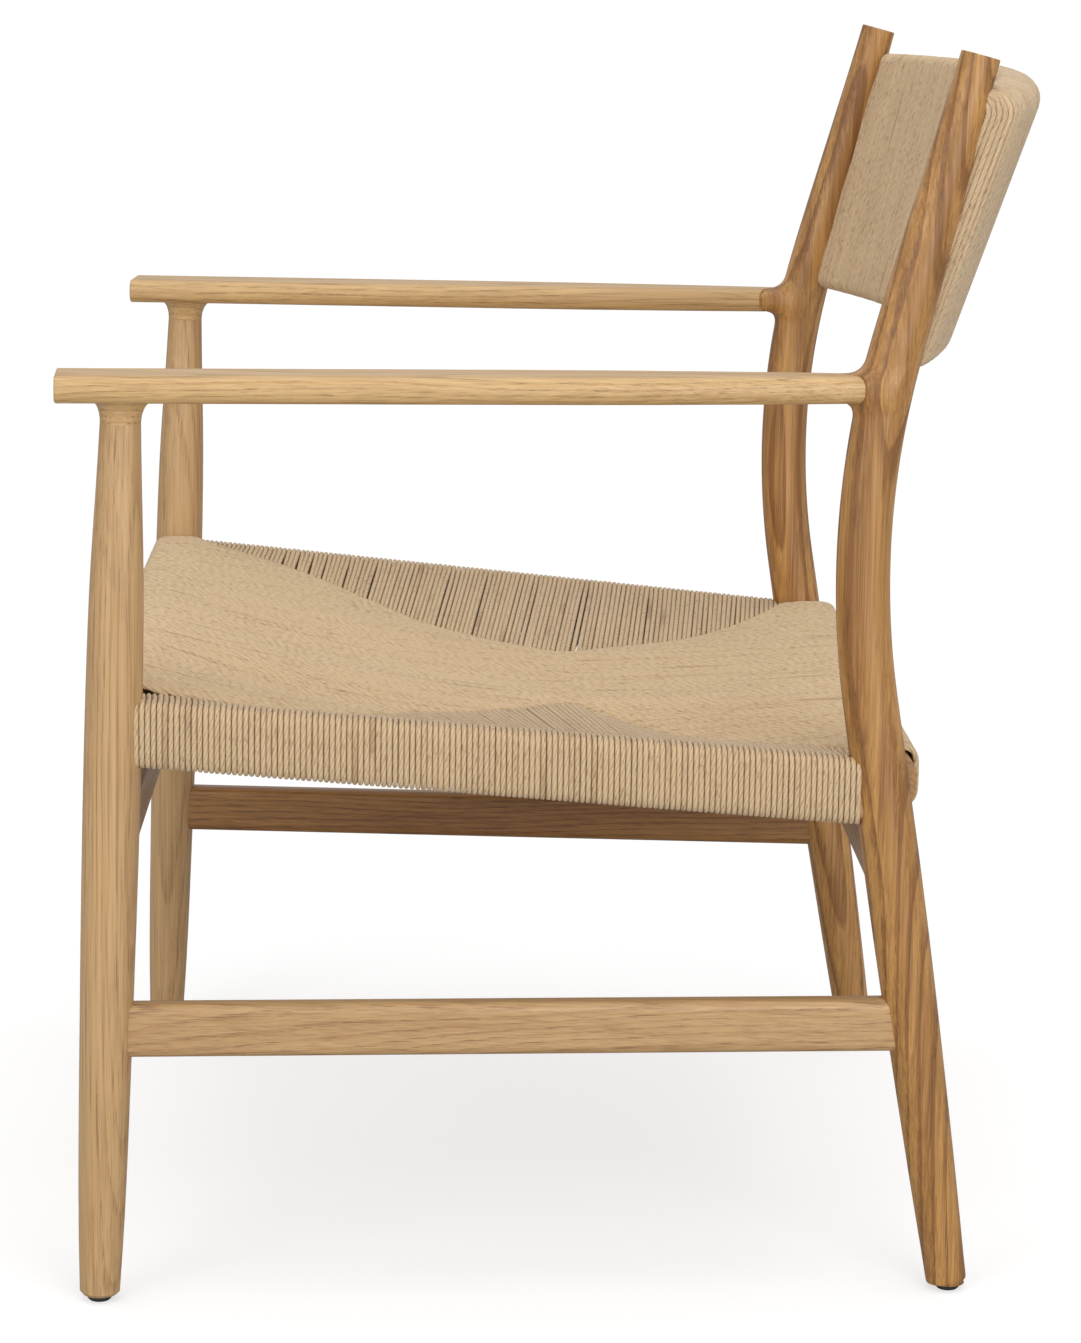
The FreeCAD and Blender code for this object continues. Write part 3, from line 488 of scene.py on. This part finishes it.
def leg_depth(z):
    """Depth of the leg's centre line: straight, an arc of radius LEG_BEND about the apex, straight."""
    low = LEG_APEX[1] - LEG_BEND * math.sin(LEG_RAKE)
    high = LEG_APEX[1] + LEG_BEND * math.sin(LEG_LEAN)
    rise = np.clip(z, low, high) - LEG_APEX[1]
    depth = LEG_APEX[0] + LEG_BEND - np.sqrt(LEG_BEND ** 2 - rise ** 2)
    below, above = np.clip(low - z, 0, None), np.clip(z - high, 0, None)
    return depth + below * math.tan(LEG_RAKE) + above * math.tan(LEG_LEAN)


def leg_tilt(z):
    """Slope of the centre line, in radians from upright: arcsin of the height above the apex over
    LEG_BEND, held at the rake and at the lean."""
    return np.clip(np.arcsin(np.clip((z - LEG_APEX[1]) / LEG_BEND, -1, 1)), -LEG_RAKE, LEG_LEAN)


def leg_radius(z):
    """The turned profile: a smooth line (averaged straight segments) through LEG_SHAPE."""
    share = np.clip((z - GLIDE_HEIGHT) / (POST_TOP - GLIDE_HEIGHT), 0, 1)
    table = np.array(LEG_SHAPE)
    total = np.zeros_like(share)
    for offset in np.linspace(-0.03, 0.03, 9):
        total += np.interp(share + offset, table[:, 0], table[:, 1])
    return LEG_RADIUS * total / 9


def leg_and_boss(u, v, z, middle, radius):
    """Less than zero inside the wood. The post is a cylinder of the leg's radius about its centre
    line, the boss a rounded bar towards the armrest; their smooth union is
    min(a, b) - h^2 k / 4 with h = max(k - |a - b|, 0) / k, cut off at the joint."""
    post = np.hypot(u, v - middle) - radius
    across = np.abs(u) - (ARM_END[0] - ARM_END[2])
    height = np.abs(z - ARM_MIDDLE) - (ARM_END[1] - ARM_END[2])
    boss = (np.hypot(np.maximum(across, 0), np.maximum(height, 0))
            + np.minimum(np.maximum(across, height), 0) - ARM_END[2])
    boss = np.maximum(boss, v - middle)
    h = np.maximum(BLEND - np.abs(post - boss), 0) / BLEND
    wood = np.minimum(post, boss) - h ** 2 * BLEND / 4
    joint = u * math.sin(ARM_SKEW) - (v - ARM_JOINT) * math.cos(ARM_SKEW)
    joint = joint - 5 * np.maximum(np.abs(z - ARM_MIDDLE) - JOINT_HALF_HEIGHT, 0)
    return np.maximum(wood, joint)


def rear_leg_piece(name, side, material):
    """Rings square to the bent centre line, closest together by the boss. A ring's point at angle a
    is the centre line's plus reach (cos a across + sin a square to the line). Its reach is found by
    halving leg_and_boss, so the boss grows out of the round leg without a seam."""
    z = np.concatenate([np.linspace(0, 0.012, 9), np.linspace(0.02, 0.535, 70),
                        np.linspace(0.5375, 0.617, 80), np.linspace(0.622, POST_TOP - 0.001, 26),
                        [POST_TOP - TOP_EDGE, POST_TOP]])
    angle = 2 * np.pi * np.arange(LEG_SIDES) / LEG_SIDES
    tilt = leg_tilt(z)[:, None]
    middle = leg_depth(z)[:, None]
    radius = leg_radius(z) - np.clip(FOOT_CHAMFER_TOP - z, 0, FOOT_CHAMFER)
    radius[-1] -= TOP_EDGE
    radius = radius[:, None]
    out_u = np.cos(angle)[None, :]
    out_v = np.sin(angle)[None, :] * np.cos(tilt)
    out_z = -np.sin(angle)[None, :] * np.sin(tilt)
    inner = np.zeros((len(z), LEG_SIDES))
    outer = np.full((len(z), LEG_SIDES), 0.05)
    for _ in range(26):
        reach = (inner + outer) / 2
        here_z = z[:, None] + reach * out_z
        inside = leg_and_boss(reach * out_u, middle + reach * out_v, here_z, leg_depth(here_z),
                              radius / np.cos(tilt)) < 0
        inside = np.where(np.abs(z[:, None] - ARM_MIDDLE) < BOSS_ZONE, inside, reach < radius)
        inner = np.where(inside, reach, inner)
        outer = np.where(inside, outer, reach)
    reach = (inner + outer) / 2
    round_share = np.clip((np.abs(z[:, None] - ARM_MIDDLE) - BOSS_FADE[0]) / BOSS_FADE[1], 0, 1)
    reach = reach * (1 - round_share) + radius * round_share
    u = reach * out_u
    v = middle + reach * out_v
    height = np.maximum(z[:, None] + reach * out_z, GLIDE_HEIGHT)
    turn = math.atan(SIDE_TAPER)
    x = side * (SIDE_HALF_WIDTH + u * math.cos(turn) - v * math.sin(turn))
    y = FRONT + u * math.sin(turn) + v * math.cos(turn)
    points = np.stack([x, y, height], axis=-1)
    index = np.arange(len(z) * LEG_SIDES).reshape(len(z), LEG_SIDES)
    low, high = index[:-1], index[1:]
    quads = np.stack([low, np.roll(low, -1, axis=1), np.roll(high, -1, axis=1), high], axis=-1)
    ends = np.stack([index[0, ::-1], index[-1]])
    if side < 0:
        quads = quads[..., ::-1]
        ends = ends[:, ::-1]
    quads = quads.reshape(-1, 4)
    piece = mesh_piece(name, points.reshape(-1, 3), quads, np.zeros((len(quads), 4, 2)), material, ends)
    piece.data.set_sharp_from_angle(angle=math.radians(38))
    return piece


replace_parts(rear_leg_piece("rear_post_left", 1, POST_OAK), "rear_leg_left")
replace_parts(rear_leg_piece("rear_post_right", -1, POST_OAK), "rear_leg_right")

# ---- woven seat -------------------------------------------------------------------------------

RAIL_TOP = 0.387                # top of the cord on the side rails where they meet the front legs
RAIL_SLOPE = math.tan(math.radians(4.75))
RAIL_START = 0.034              # depth of the front legs' centre line at seat height
SIDE_RAIL = (0.013, 0.0215)     # half width and half height, cord included
CROSS_RAIL = (0.0200, 0.020)    # the same for the front and the rear rail
FRONT_RAIL = (0.0362, 0.372)    # depth and height of its middle
REAR_RAIL = (0.5141, 0.332)
CORNER_FRONT = (0.282, 0.056)   # where the mitre seams start: from the middle, and depth
CORNER_REAR = (0.2545, 0.491)
APEX = (0.087, 0.320)           # where the seams of each side meet
CORNER_HEIGHTS = (0.3865, 0.3507)       # of the seams' front and rear ends
APEX_HEIGHT = 0.3432
LAYER_GAP = 0.013               # between the upper and the lower cord, at the seams
SIDE_SKEW = 0.095               # the side cords run this much forwards per metre inwards
FRONT_BOW = (0.027, 0.64)       # how far the front seam bows outwards, over this share of it
REAR_WAVE, REAR_SAG = 0.009, 0.0105     # of the rear seam
TOP_POINTS, WRAP_POINTS, LOW_POINTS = 14, 26, 12    # along a strand's upper run, round its rail, below
WRAP_END = 118                  # degrees from straight outwards at which a strand leaves the rail
TUCK_TOP, TUCK_LOW = 0.0085, -0.0035    # how far a strand's ends turn down (or up) at the seam
SLACK_DRIFT, SLACK_STRAND = 0.00012, 0.00006    # shifts that neighbours share, and each strand's own
RADIUS_SPREAD = 0.025           # uneven thickness of the strands, as a share
SIDE_THINNER = 0.975            # the side cords are pulled a little tighter


def side_plane(depth):
    """Distance of a side plane from the middle of the chair at a depth."""
    return SIDE_HALF_WIDTH - SIDE_TAPER * depth


def side_top(depth):
    """Height of the top of the cord on a side rail at a depth."""
    return RAIL_TOP - RAIL_SLOPE * (depth - RAIL_START)


def seam(share, front):
    """A mitre seam at a share t of its depth from corner (0) to apex (1): distance from the middle
    of the chair and height. The front one bows outwards, x = line + bow sin(pi t / 0.64)^1.2, and
    falls as (1 - t)^(1.1 + 1.2 t); the rear one waves, x = line - wave sin(2 pi t), and sags by
    sag sin(pi t)."""
    corner = np.where(front, CORNER_FRONT[0], CORNER_REAR[0])
    line = corner + (APEX[0] - corner) * share
    bow = FRONT_BOW[0] * np.sin(math.pi * np.clip(share / FRONT_BOW[1], 0, 1)) ** 1.2
    x = line + np.where(front, bow, -REAR_WAVE * np.sin(2 * math.pi * share))
    front_high, rear_high = CORNER_HEIGHTS
    fall = (1 - share) ** (1.1 + 1.2 * share)
    front_z = APEX_HEIGHT + (front_high - APEX_HEIGHT) * fall
    rear_z = rear_high + (APEX_HEIGHT - rear_high) * share - REAR_SAG * np.sin(math.pi * share)
    return x, np.where(front, front_z, rear_z)


def seam_at_depth(depth):
    """Share, x and height of the seam at a depth."""
    front = depth < APEX[1]
    ahead = (depth - CORNER_FRONT[1]) / (APEX[1] - CORNER_FRONT[1])
    behind = (CORNER_REAR[1] - depth) / (CORNER_REAR[1] - APEX[1])
    share = np.clip(np.where(front, ahead, behind), 0, 1)
    x, z = seam(share, front)
    return share, x, z


def seam_at_side(away, front):
    """Share and height of the seam at a distance from the middle, read off the seam's own curve."""
    t = np.linspace(0, 1, 400)
    x, z = seam(t, front)
    falling = np.minimum.accumulate(x)
    share = np.interp(-away, -falling, t)
    return share, np.interp(share, t, z)


def around_rail(middle_a, middle_b, half, first, last, count):
    """Points round a rail in its cross plane: a rounded rectangle |a/A|^4.5 + |b/B|^4.5 = 1 at
    angles from first to last, as arrays [strands, count] of the two coordinates."""
    angle = np.radians(np.linspace(first, last, count))
    power = 2 / 4.5
    a = np.sign(np.cos(angle)) * np.abs(np.cos(angle)) ** power * (half[0] - CORD_RADIUS)
    b = np.sign(np.sin(angle)) * np.abs(np.sin(angle)) ** power * (half[1] - CORD_RADIUS)
    return middle_a[:, None] + a[None, :], middle_b[:, None] + b[None, :]


def slack(count):
    """Small uneven shifts of the strands, in metres: the mean of five random numbers in a row, so
    that they drift together and apart, plus a smaller shift of each strand's own."""
    rough = chance.normal(0, 1, count + 8)
    smooth = np.convolve(rough, np.ones(5) / 5, mode="valid")[:count]
    return SLACK_DRIFT * smooth + chance.normal(0, SLACK_STRAND, count)


def partings(place, openings):
    """Shift that opens gaps between strands: at each opening (where, width, spread) the strands on
    either side stand back by half the width, less so further away."""
    shift = np.zeros_like(place)
    for where, width, spread in openings:
        offset = place - where
        shift += 0.5 * width * np.sign(offset) * np.exp(-np.abs(offset) / spread)
    return shift


def layer(rail_a, rail_b, seam_a, seam_b, sink, meets, ease, count):
    """A strand's run from a rail's edge to the seam, [strands, count] of each coordinate. Its height
    goes as h = s + ease (s - s^3) / 2 with the share s of the run: straight for ease 0, ending level
    for 1. Where meets is 0 its last few points turn down (sink > 0) or up between the two layers."""
    run = (seam_a - rail_a)[:, None]
    before = np.array([0.0075, 0.0036, 0.0015, 0.0004, 0.0, -0.0004])   # of the last points, to the seam
    fall = np.concatenate([np.zeros(count - 6), [0.0, 0.03, 0.12, 0.3, 0.62, 1.0]])
    length = np.maximum(np.abs(run), 0.012)
    even = np.linspace(0, 1, count - 5)[None, :-1] * (1 - before[0] / length)
    close = 1 - before[None, :] / length
    share = np.concatenate([even, close], axis=1)
    rise = share + ease[:, None] * (0.5 * share - 0.5 * share ** 3)
    a = rail_a[:, None] + run * share
    b = rail_b[:, None] + (seam_b - rail_b)[:, None] * rise - sink * fall * (1 - meets[:, None])
    return a, b


def seat_loops(rail_mid, rail_height, half, seam_a, seam_top, seam_under, meets, ease):
    """Centre lines of one section's strands in their own cross planes: from the seam to the rail,
    over it, down its outside, under it and back to the seam. a points outwards, b up."""
    wrap_a, wrap_b = around_rail(rail_mid, rail_height, half, WRAP_END, -WRAP_END, WRAP_POINTS)
    top_a, top_b = layer(wrap_a[:, 0], wrap_b[:, 0], seam_a, seam_top - CORD_RADIUS, TUCK_TOP,
                         meets, ease, TOP_POINTS + 1)
    low_a, low_b = layer(wrap_a[:, -1], wrap_b[:, -1], seam_a, seam_under + CORD_RADIUS, TUCK_LOW,
                         meets, ease, LOW_POINTS)
    a = np.concatenate([top_a[:, :0:-1], wrap_a, low_a[:, 1:]], axis=1)
    b = np.concatenate([top_b[:, :0:-1], wrap_b, low_b[:, 1:]], axis=1)
    return a, b


def weave_side(name, side, openings):
    """Strands over a side rail, which run a little forwards as they go inwards: the depth at a
    distance d inside the rail is the strand's own less SIDE_SKEW d. Openings and drift grow from
    the rail to their full size at opened_at and loose_at inside it. Where a strand meets the seam
    depends on its depth there, so the meeting is found by repeating."""
    start, end = 0.0466, 0.4972
    shortest, straight = 0.011, 0.004       # least run, and how far the rail keeps a strand in place
    opened_at, loose_at = 0.03, 0.05
    count = int((end - start) / CORD_PITCH)
    depth = start + CORD_PITCH * (np.arange(count) + 0.5) + slack(count)
    rail_mid = side_plane(depth)
    end_depth = depth.copy()
    for _ in range(12):
        share, seam_x, seam_top = seam_at_depth(end_depth)
        end_depth = depth - SIDE_SKEW * (rail_mid - seam_x)
    under = side_top(depth) - 2 * SIDE_RAIL[1]
    seam_under = under + (APEX_HEIGHT - LAYER_GAP - under) * share
    seam_x = np.minimum(seam_x, rail_mid - shortest)
    a, b = seat_loops(rail_mid, side_top(depth) - SIDE_RAIL[1], SIDE_RAIL, seam_x, seam_top, seam_under,
                      np.zeros(count), np.zeros(count))
    inward = np.clip(rail_mid[:, None] - a - straight, 0, None)
    opened = partings(depth, openings)[:, None] * np.clip(inward / opened_at, 0, 1)
    wander = slack(count)[:, None] * np.clip(inward / loose_at, 0, 1) * 2
    y = FRONT + depth[:, None] - SIDE_SKEW * inward + opened + wander
    paths = np.stack([side * a, y, b], axis=-1)
    sideways = np.tile([0.0, float(side), 0.0], (count, 1))
    radius = SIDE_THINNER * CORD_RADIUS * (1 + RADIUS_SPREAD * chance.normal(0, 1, (count, 1)))
    piece = cord_strands(name, paths, sideways, radius, CORD)
    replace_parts(piece, "seat_weave")
    return piece


def weave_cross(name, rail, corner, reach, outwards, openings, hollow):
    """Strands over the front or rear rail, at a distance x from the middle. Those with |x| below
    APEX[0] run on to the other rail's and meet them, so their openings and drift fade out again
    towards the meeting. A hollow (where, width, depth) lets the upper cords sag by
    depth exp(-((x - where) / width)^2) sin(pi s), with s the share of their run."""
    shortest, straight = 0.014, 0.006       # least run, and how far the rail keeps a strand in place
    opened_at, loose_at = 0.06, 0.05
    fade_start, fade_length = 0.12, 0.08
    ease_out, ease_width = 0.215, 0.17      # ease falls from 1 to 0 over this width, out to here
    edge = 0.004                            # the change between meeting and tucked strands
    middle_dip = 0.002                      # how much lower the cords meet in the very middle
    count = 2 * int(reach / CORD_PITCH)
    x = CORD_PITCH * (np.arange(count) - count / 2 + 0.5)
    away = np.abs(x)
    share, seam_top = seam_at_side(away, outwards < 0)
    seam_depth = corner[1] + (APEX[1] - corner[1]) * share
    middle = np.clip(1 - away / APEX[0], 0, 1)
    seam_top = seam_top - middle_dip * middle
    ease = np.clip((ease_out - away) / ease_width, 0, 1) ** 1.5
    under = rail[1] - CROSS_RAIL[1]
    seam_under = under + (APEX_HEIGHT - LAYER_GAP - under) * share
    meets = np.clip((APEX[0] + edge - away) / edge, 0, 1)
    seam_a = np.minimum(outwards * (seam_depth - rail[0]), -shortest)
    a, b = seat_loops(np.zeros(count), np.full(count, rail[1]), CROSS_RAIL, seam_a, seam_top, seam_under,
                      meets, ease)
    inward = np.clip(-a - straight, 0, None)
    where, width, depth = hollow
    sag = depth * np.exp(-((x - where) / width) ** 2)[:, None]
    sag = sag * np.sin(math.pi * np.clip(inward / (-seam_a[:, None] - straight), 0, 1))
    b[:, :TOP_POINTS] -= sag[:, :TOP_POINTS]
    opened = partings(x, openings)[:, None] * np.clip(inward / opened_at, 0, 1)
    wander = slack(count)[:, None] * np.clip(inward / loose_at, 0, 1) * 1.5
    free = 1 - meets[:, None] * np.clip((inward - fade_start) / fade_length, 0, 1)
    across = x[:, None] + (opened + wander) * free
    paths = np.stack([across, FRONT + rail[0] + outwards * a, b], axis=-1)
    sideways = np.tile([-float(outwards), 0.0, 0.0], (count, 1))
    radius = CORD_RADIUS * (1 + RADIUS_SPREAD * chance.normal(0, 1, (count, 1)) * (1 - meets[:, None]))
    piece = cord_strands(name, paths, sideways, radius, CORD)
    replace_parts(piece, "seat_weave")
    return piece


# openings between cords: where along the rail, how wide, and how far the neighbours give way
SIDE_PARTINGS = [(0.117, 0.0018, 0.010), (0.1285, 0.0015, 0.008), (0.138, 0.0017, 0.009),
                 (0.149, 0.0013, 0.010), (0.166, 0.0012, 0.012), (0.187, 0.0010, 0.012),
                 (0.215, 0.0008, 0.012), (0.243, 0.0009, 0.010), (0.271, 0.0007, 0.010),
                 (0.306, 0.0010, 0.012), (0.346, 0.0008, 0.012), (0.392, 0.0007, 0.012)]
FRONT_PARTINGS = [(0.083, 0.0009, 0.010), (0.1015, 0.0011, 0.008), (0.122, 0.0012, 0.010),
                  (0.1395, 0.0010, 0.008), (0.1605, 0.0009, 0.008)]
REAR_PARTINGS = [(0.188, 0.0022, 0.008), (0.206, 0.0014, 0.006), (0.128, 0.0010, 0.010),
                 (0.222, 0.0010, 0.006)]
weave_side("seat_cord_left", 1, SIDE_PARTINGS[3:])
weave_side("seat_cord_right", -1, SIDE_PARTINGS)
weave_cross("seat_cord_front", FRONT_RAIL, CORNER_FRONT, 0.2835, -1, FRONT_PARTINGS, (0.165, 0.035, 0.0055))
weave_cross("seat_cord_rear", REAR_RAIL, CORNER_REAR, 0.2565, 1, REAR_PARTINGS, (0.185, 0.03, 0.003))

# ---- backrest ---------------------------------------------------------------------------------

POST_DEPTH_TOP = float(leg_depth(np.array(POST_TOP)))   # depth of the posts' centre line at their top
BACK_TOP, BACK_HEIGHT = 0.017, 0.183                    # measured down along the posts
BACK_THICK = (0.031, 0.018)     # at the top and the bottom, cord included
BACK_EDGES = (0.0075, 0.014, 0.009, 0.0075)     # edge radii: top front, top rear, bottom rear, bottom front
BACK_RISE = 0.009               # how much higher the bottom's rear edge is
BACK_BOW = 0.045                # how far its middle stands behind its ends
BACK_CROWN = 0.003              # how much higher the middle of the top edge is
END_GAP = 0.0045                # from a side plane to the end of the backrest
END_BEND = 0.0105               # radius with which each end rounds off
END_LOOPS = 10                  # loops on that bend, and how closely they lie
END_PITCH = 0.95 * CORD_PITCH
END_DRAW = 0.35                 # share of their standing in by which top and bottom draw in too
BACK_RADIUS_SPREAD = 0.03


def rounded_section(corners, radii, per_arc, per_side):
    """Closed outline through rounded corners [k, 2]: for each corner an arc of its radius r, about
    the point r / sin(half the corner's angle) inside it, and for each side evenly spaced points
    between the arcs, which end r / tan(half the angle) before the corners."""
    pieces = []
    total = len(corners)
    for i in range(total):
        here, before, after = corners[i], corners[i - 1], corners[(i + 1) % total]
        back = (before - here) / np.linalg.norm(before - here)
        ahead = (after - here) / np.linalg.norm(after - here)
        beyond = corners[(i + 2) % total] - after
        onward = beyond / np.linalg.norm(beyond)
        half = math.acos(np.clip(back @ ahead, -1, 1)) / 2
        middle = here + (back + ahead) / np.linalg.norm(back + ahead) * radii[i] / math.sin(half)
        first = here + back * radii[i] / math.tan(half) - middle
        last = here + ahead * radii[i] / math.tan(half) - middle
        start = math.atan2(first[1], first[0])
        sweep = (math.atan2(last[1], last[0]) - start + math.pi) % (2 * math.pi) - math.pi
        angle = start + sweep * np.linspace(0, 1, per_arc)
        pieces.append(middle + radii[i] * np.stack([np.cos(angle), np.sin(angle)], axis=-1))
        half_next = math.acos(np.clip(-ahead @ onward, -1, 1)) / 2
        finish = after - ahead * radii[(i + 1) % total] / math.tan(half_next)
        share = np.linspace(0, 1, per_side + 2)[1:-1, None]
        pieces.append(pieces[-1][-1] + (finish - pieces[-1][-1]) * share)
    return np.concatenate(pieces)


def weave_backrest():
    """Cords wound side by side round the backrest, parallel to the posts. Each is a closed loop in
    an upright plane that turns with the bow. The full loops are evenly spaced. Beyond them the last
    ones at both ends round off: they lie r sin t further along and stand in from the outline by
    r (1 - cos t), where the bend of radius r has turned by t, and after a quarter turn they go on
    straight in."""
    middle_along = BACK_TOP + BACK_HEIGHT / 2
    span_depth = POST_DEPTH_TOP - middle_along * math.sin(LEG_LEAN)
    half_span = side_plane(span_depth)
    bow_radius = (half_span ** 2 + BACK_BOW ** 2) / (2 * BACK_BOW)
    most = math.asin((half_span - END_GAP) / bow_radius)
    bent = (np.arange(END_LOOPS) + 0.5) * END_PITCH / END_BEND
    past = np.minimum(bent, math.pi / 2)
    shorter = END_BEND * (1 - np.cos(past)) + np.maximum(bent - math.pi / 2, 0) * END_BEND
    curve_start = most - END_BEND / bow_radius
    count = 2 * int(curve_start * bow_radius / CORD_PITCH)
    turn = curve_start * (2 * (np.arange(count) + 0.5) / count - 1)
    turn = turn + slack(count) / bow_radius
    around = curve_start + END_BEND * np.sin(past) / bow_radius
    turn = np.concatenate([-around[::-1], turn, around])
    stand_in = np.concatenate([shorter[::-1], np.zeros(count), shorter])
    total = len(turn)
    corners = np.array([[0.0, -BACK_TOP], [BACK_THICK[0], -BACK_TOP],
                        [BACK_THICK[1], BACK_RISE - BACK_TOP - BACK_HEIGHT], [0.0, -BACK_TOP - BACK_HEIGHT]])
    inset = CORD_RADIUS
    inner = corners + inset * np.array([[1, -1], [-1, -1], [-1, 1], [1, 1]])
    outline = rounded_section(inner, [r - inset for r in BACK_EDGES], 7, 6)
    # n: distance behind the posts' line, s: distance up it from the posts' top, both [loops, points]
    depth_share = (outline[:, 0] - inset) / (BACK_THICK[1] - 2 * inset)
    n = outline[None, :, 0] - stand_in[:, None] * np.clip(depth_share, 0, 1)
    n = np.maximum(n, inset)
    high = (outline[:, 1] + BACK_TOP + BACK_HEIGHT / 2) / (BACK_HEIGHT / 2)
    s = outline[None, :, 1] - END_DRAW * stand_in[:, None] * np.clip(high, -1, 1) ** 3
    crown = BACK_CROWN * (1 - (turn / most) ** 2)
    s = s + crown[:, None] * np.clip((s + BACK_TOP + BACK_HEIGHT) / BACK_HEIGHT, 0, 1)
    n = n + chance.normal(0, SLACK_DRIFT, (total, 1))
    ahead = n * math.cos(LEG_LEAN) + s * math.sin(LEG_LEAN)
    z = POST_TOP - n * math.sin(LEG_LEAN) + s * math.cos(LEG_LEAN)
    axis_depth = span_depth + BACK_BOW - bow_radius
    distance = POST_DEPTH_TOP + BACK_BOW - axis_depth + ahead
    x = distance * np.sin(turn)[:, None]
    y = FRONT + axis_depth + distance * np.cos(turn)[:, None]
    paths = np.stack([x, y, z], axis=-1)
    sideways = np.stack([-np.cos(turn), np.sin(turn), np.zeros(total)], axis=-1)
    radius = CORD_RADIUS * (1 + BACK_RADIUS_SPREAD * chance.normal(0, 1, (total, 1)))
    piece = cord_strands("backrest_cord", paths, sideways, radius, BACK_CORD, closed=True)
    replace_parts(piece, "backrest_weave")
    return piece


weave_backrest()

# ---- floor and light --------------------------------------------------------------------------

FLOOR_HALF = 40.0               # the floor is a square of twice this
FLOOR_NEAR, FLOOR_FAR = 0.55, 1.5       # its look changes between these distances from the middle
FLOOR_GLOW = (0.60, 1.03)       # what it gives to the camera, near and far
FLOOR_TONE = (0.50, 0.51)       # its uneven grey near the chair, for the camera
FLOOR_BOUNCE = 0.45             # its grey as the chair's light
SURROUND_LIGHT, SURROUND_LOOK = 0.62, 1.02      # for the chair and for the camera


def grey(value):
    """A grey colour, opaque."""
    return (value, value, value, 1.0)


def pale_floor_material():
    """White to the camera, partly by its own glow, which grows from FLOOR_NEAR to FLOOR_FAR while
    the lit part fades, so its far edge can't be told from the surround; plain pale grey otherwise."""
    material, n, shader = surface_material("pale_floor")
    place = n.add("ShaderNodeTexCoord")
    cloud = n.even_noise(place.outputs["Object"], 2.0, rough=0.5)
    path = n.add("ShaderNodeLightPath")
    reach = n.add("ShaderNodeVectorMath", operation="LENGTH")
    n.link(place.outputs["Object"], reach.inputs[0])
    far = n.span(reach.outputs["Value"], FLOOR_NEAR, FLOOR_FAR)
    lit = n.mix(cloud, grey(FLOOR_TONE[0]), grey(FLOOR_TONE[1]))
    seen = n.mix(far, lit, grey(0.0))
    n.link(n.mix(path.outputs["Is Camera Ray"], grey(FLOOR_BOUNCE), seen), shader.inputs["Base Color"])
    glow = n.span(far, 0.0, 1.0, *FLOOR_GLOW)
    n.link(n.math("MULTIPLY", path.outputs["Is Camera Ray"], glow), shader.inputs["Emission Strength"])
    shader.inputs["Emission Color"].default_value = grey(1.0)
    shader.inputs["Roughness"].default_value = 0.9
    shader.inputs["Specular IOR Level"].default_value = 0.0
    return material


def disk_lamp(name, place, target, size, power):
    """A round lamp of a given width at place, in metres, that looks at target."""
    data = bpy.data.lights.new(name, "AREA")
    data.shape = "DISK"
    data.size = size
    data.energy = power
    light = bpy.data.objects.new(name, data)
    light.location = place
    light.rotation_euler = (Vector(target) - Vector(place)).to_track_quat("-Z", "Y").to_euler()
    bpy.context.scene.collection.objects.link(light)


def set_stage():
    """A wide pale floor, a white surround and three large soft lamps: above, on the sitter's left
    and in front. Floor and surround look brighter to the camera than they light the chair."""
    mesh = bpy.data.meshes.new("floor")
    half = FLOOR_HALF
    mesh.from_pydata([(-half, -half, 0), (half, -half, 0), (half, half, 0), (-half, half, 0)], [],
                     [(0, 1, 2, 3)])
    mesh.materials.append(pale_floor_material())
    floor = bpy.data.objects.new("floor", mesh)
    bpy.context.scene.collection.objects.link(floor)

    world = bpy.data.worlds.new("surround")
    bpy.context.scene.world = world
    world.use_nodes = True
    w = Nodes(world.node_tree)
    background = world.node_tree.nodes["Background"]
    background.inputs["Color"].default_value = grey(1.0)
    path = w.add("ShaderNodeLightPath")
    strength = w.span(path.outputs["Is Camera Ray"], 0.0, 1.0, SURROUND_LIGHT, SURROUND_LOOK)
    w.link(strength, background.inputs["Strength"])

    disk_lamp("top_lamp", (0.3, 0.1, 3.2), (0, 0, 0.3), 3.0, 26.0)
    disk_lamp("side_lamp", (3.2, 1.3, 1.2), (0, 0, 0.4), 2.2, 44.0)
    disk_lamp("front_lamp", (2.6, -2.0, 1.3), (0, 0, 0.4), 1.8, 24.0)


set_stage()
bpy.context.scene.view_settings.view_transform = "Standard"
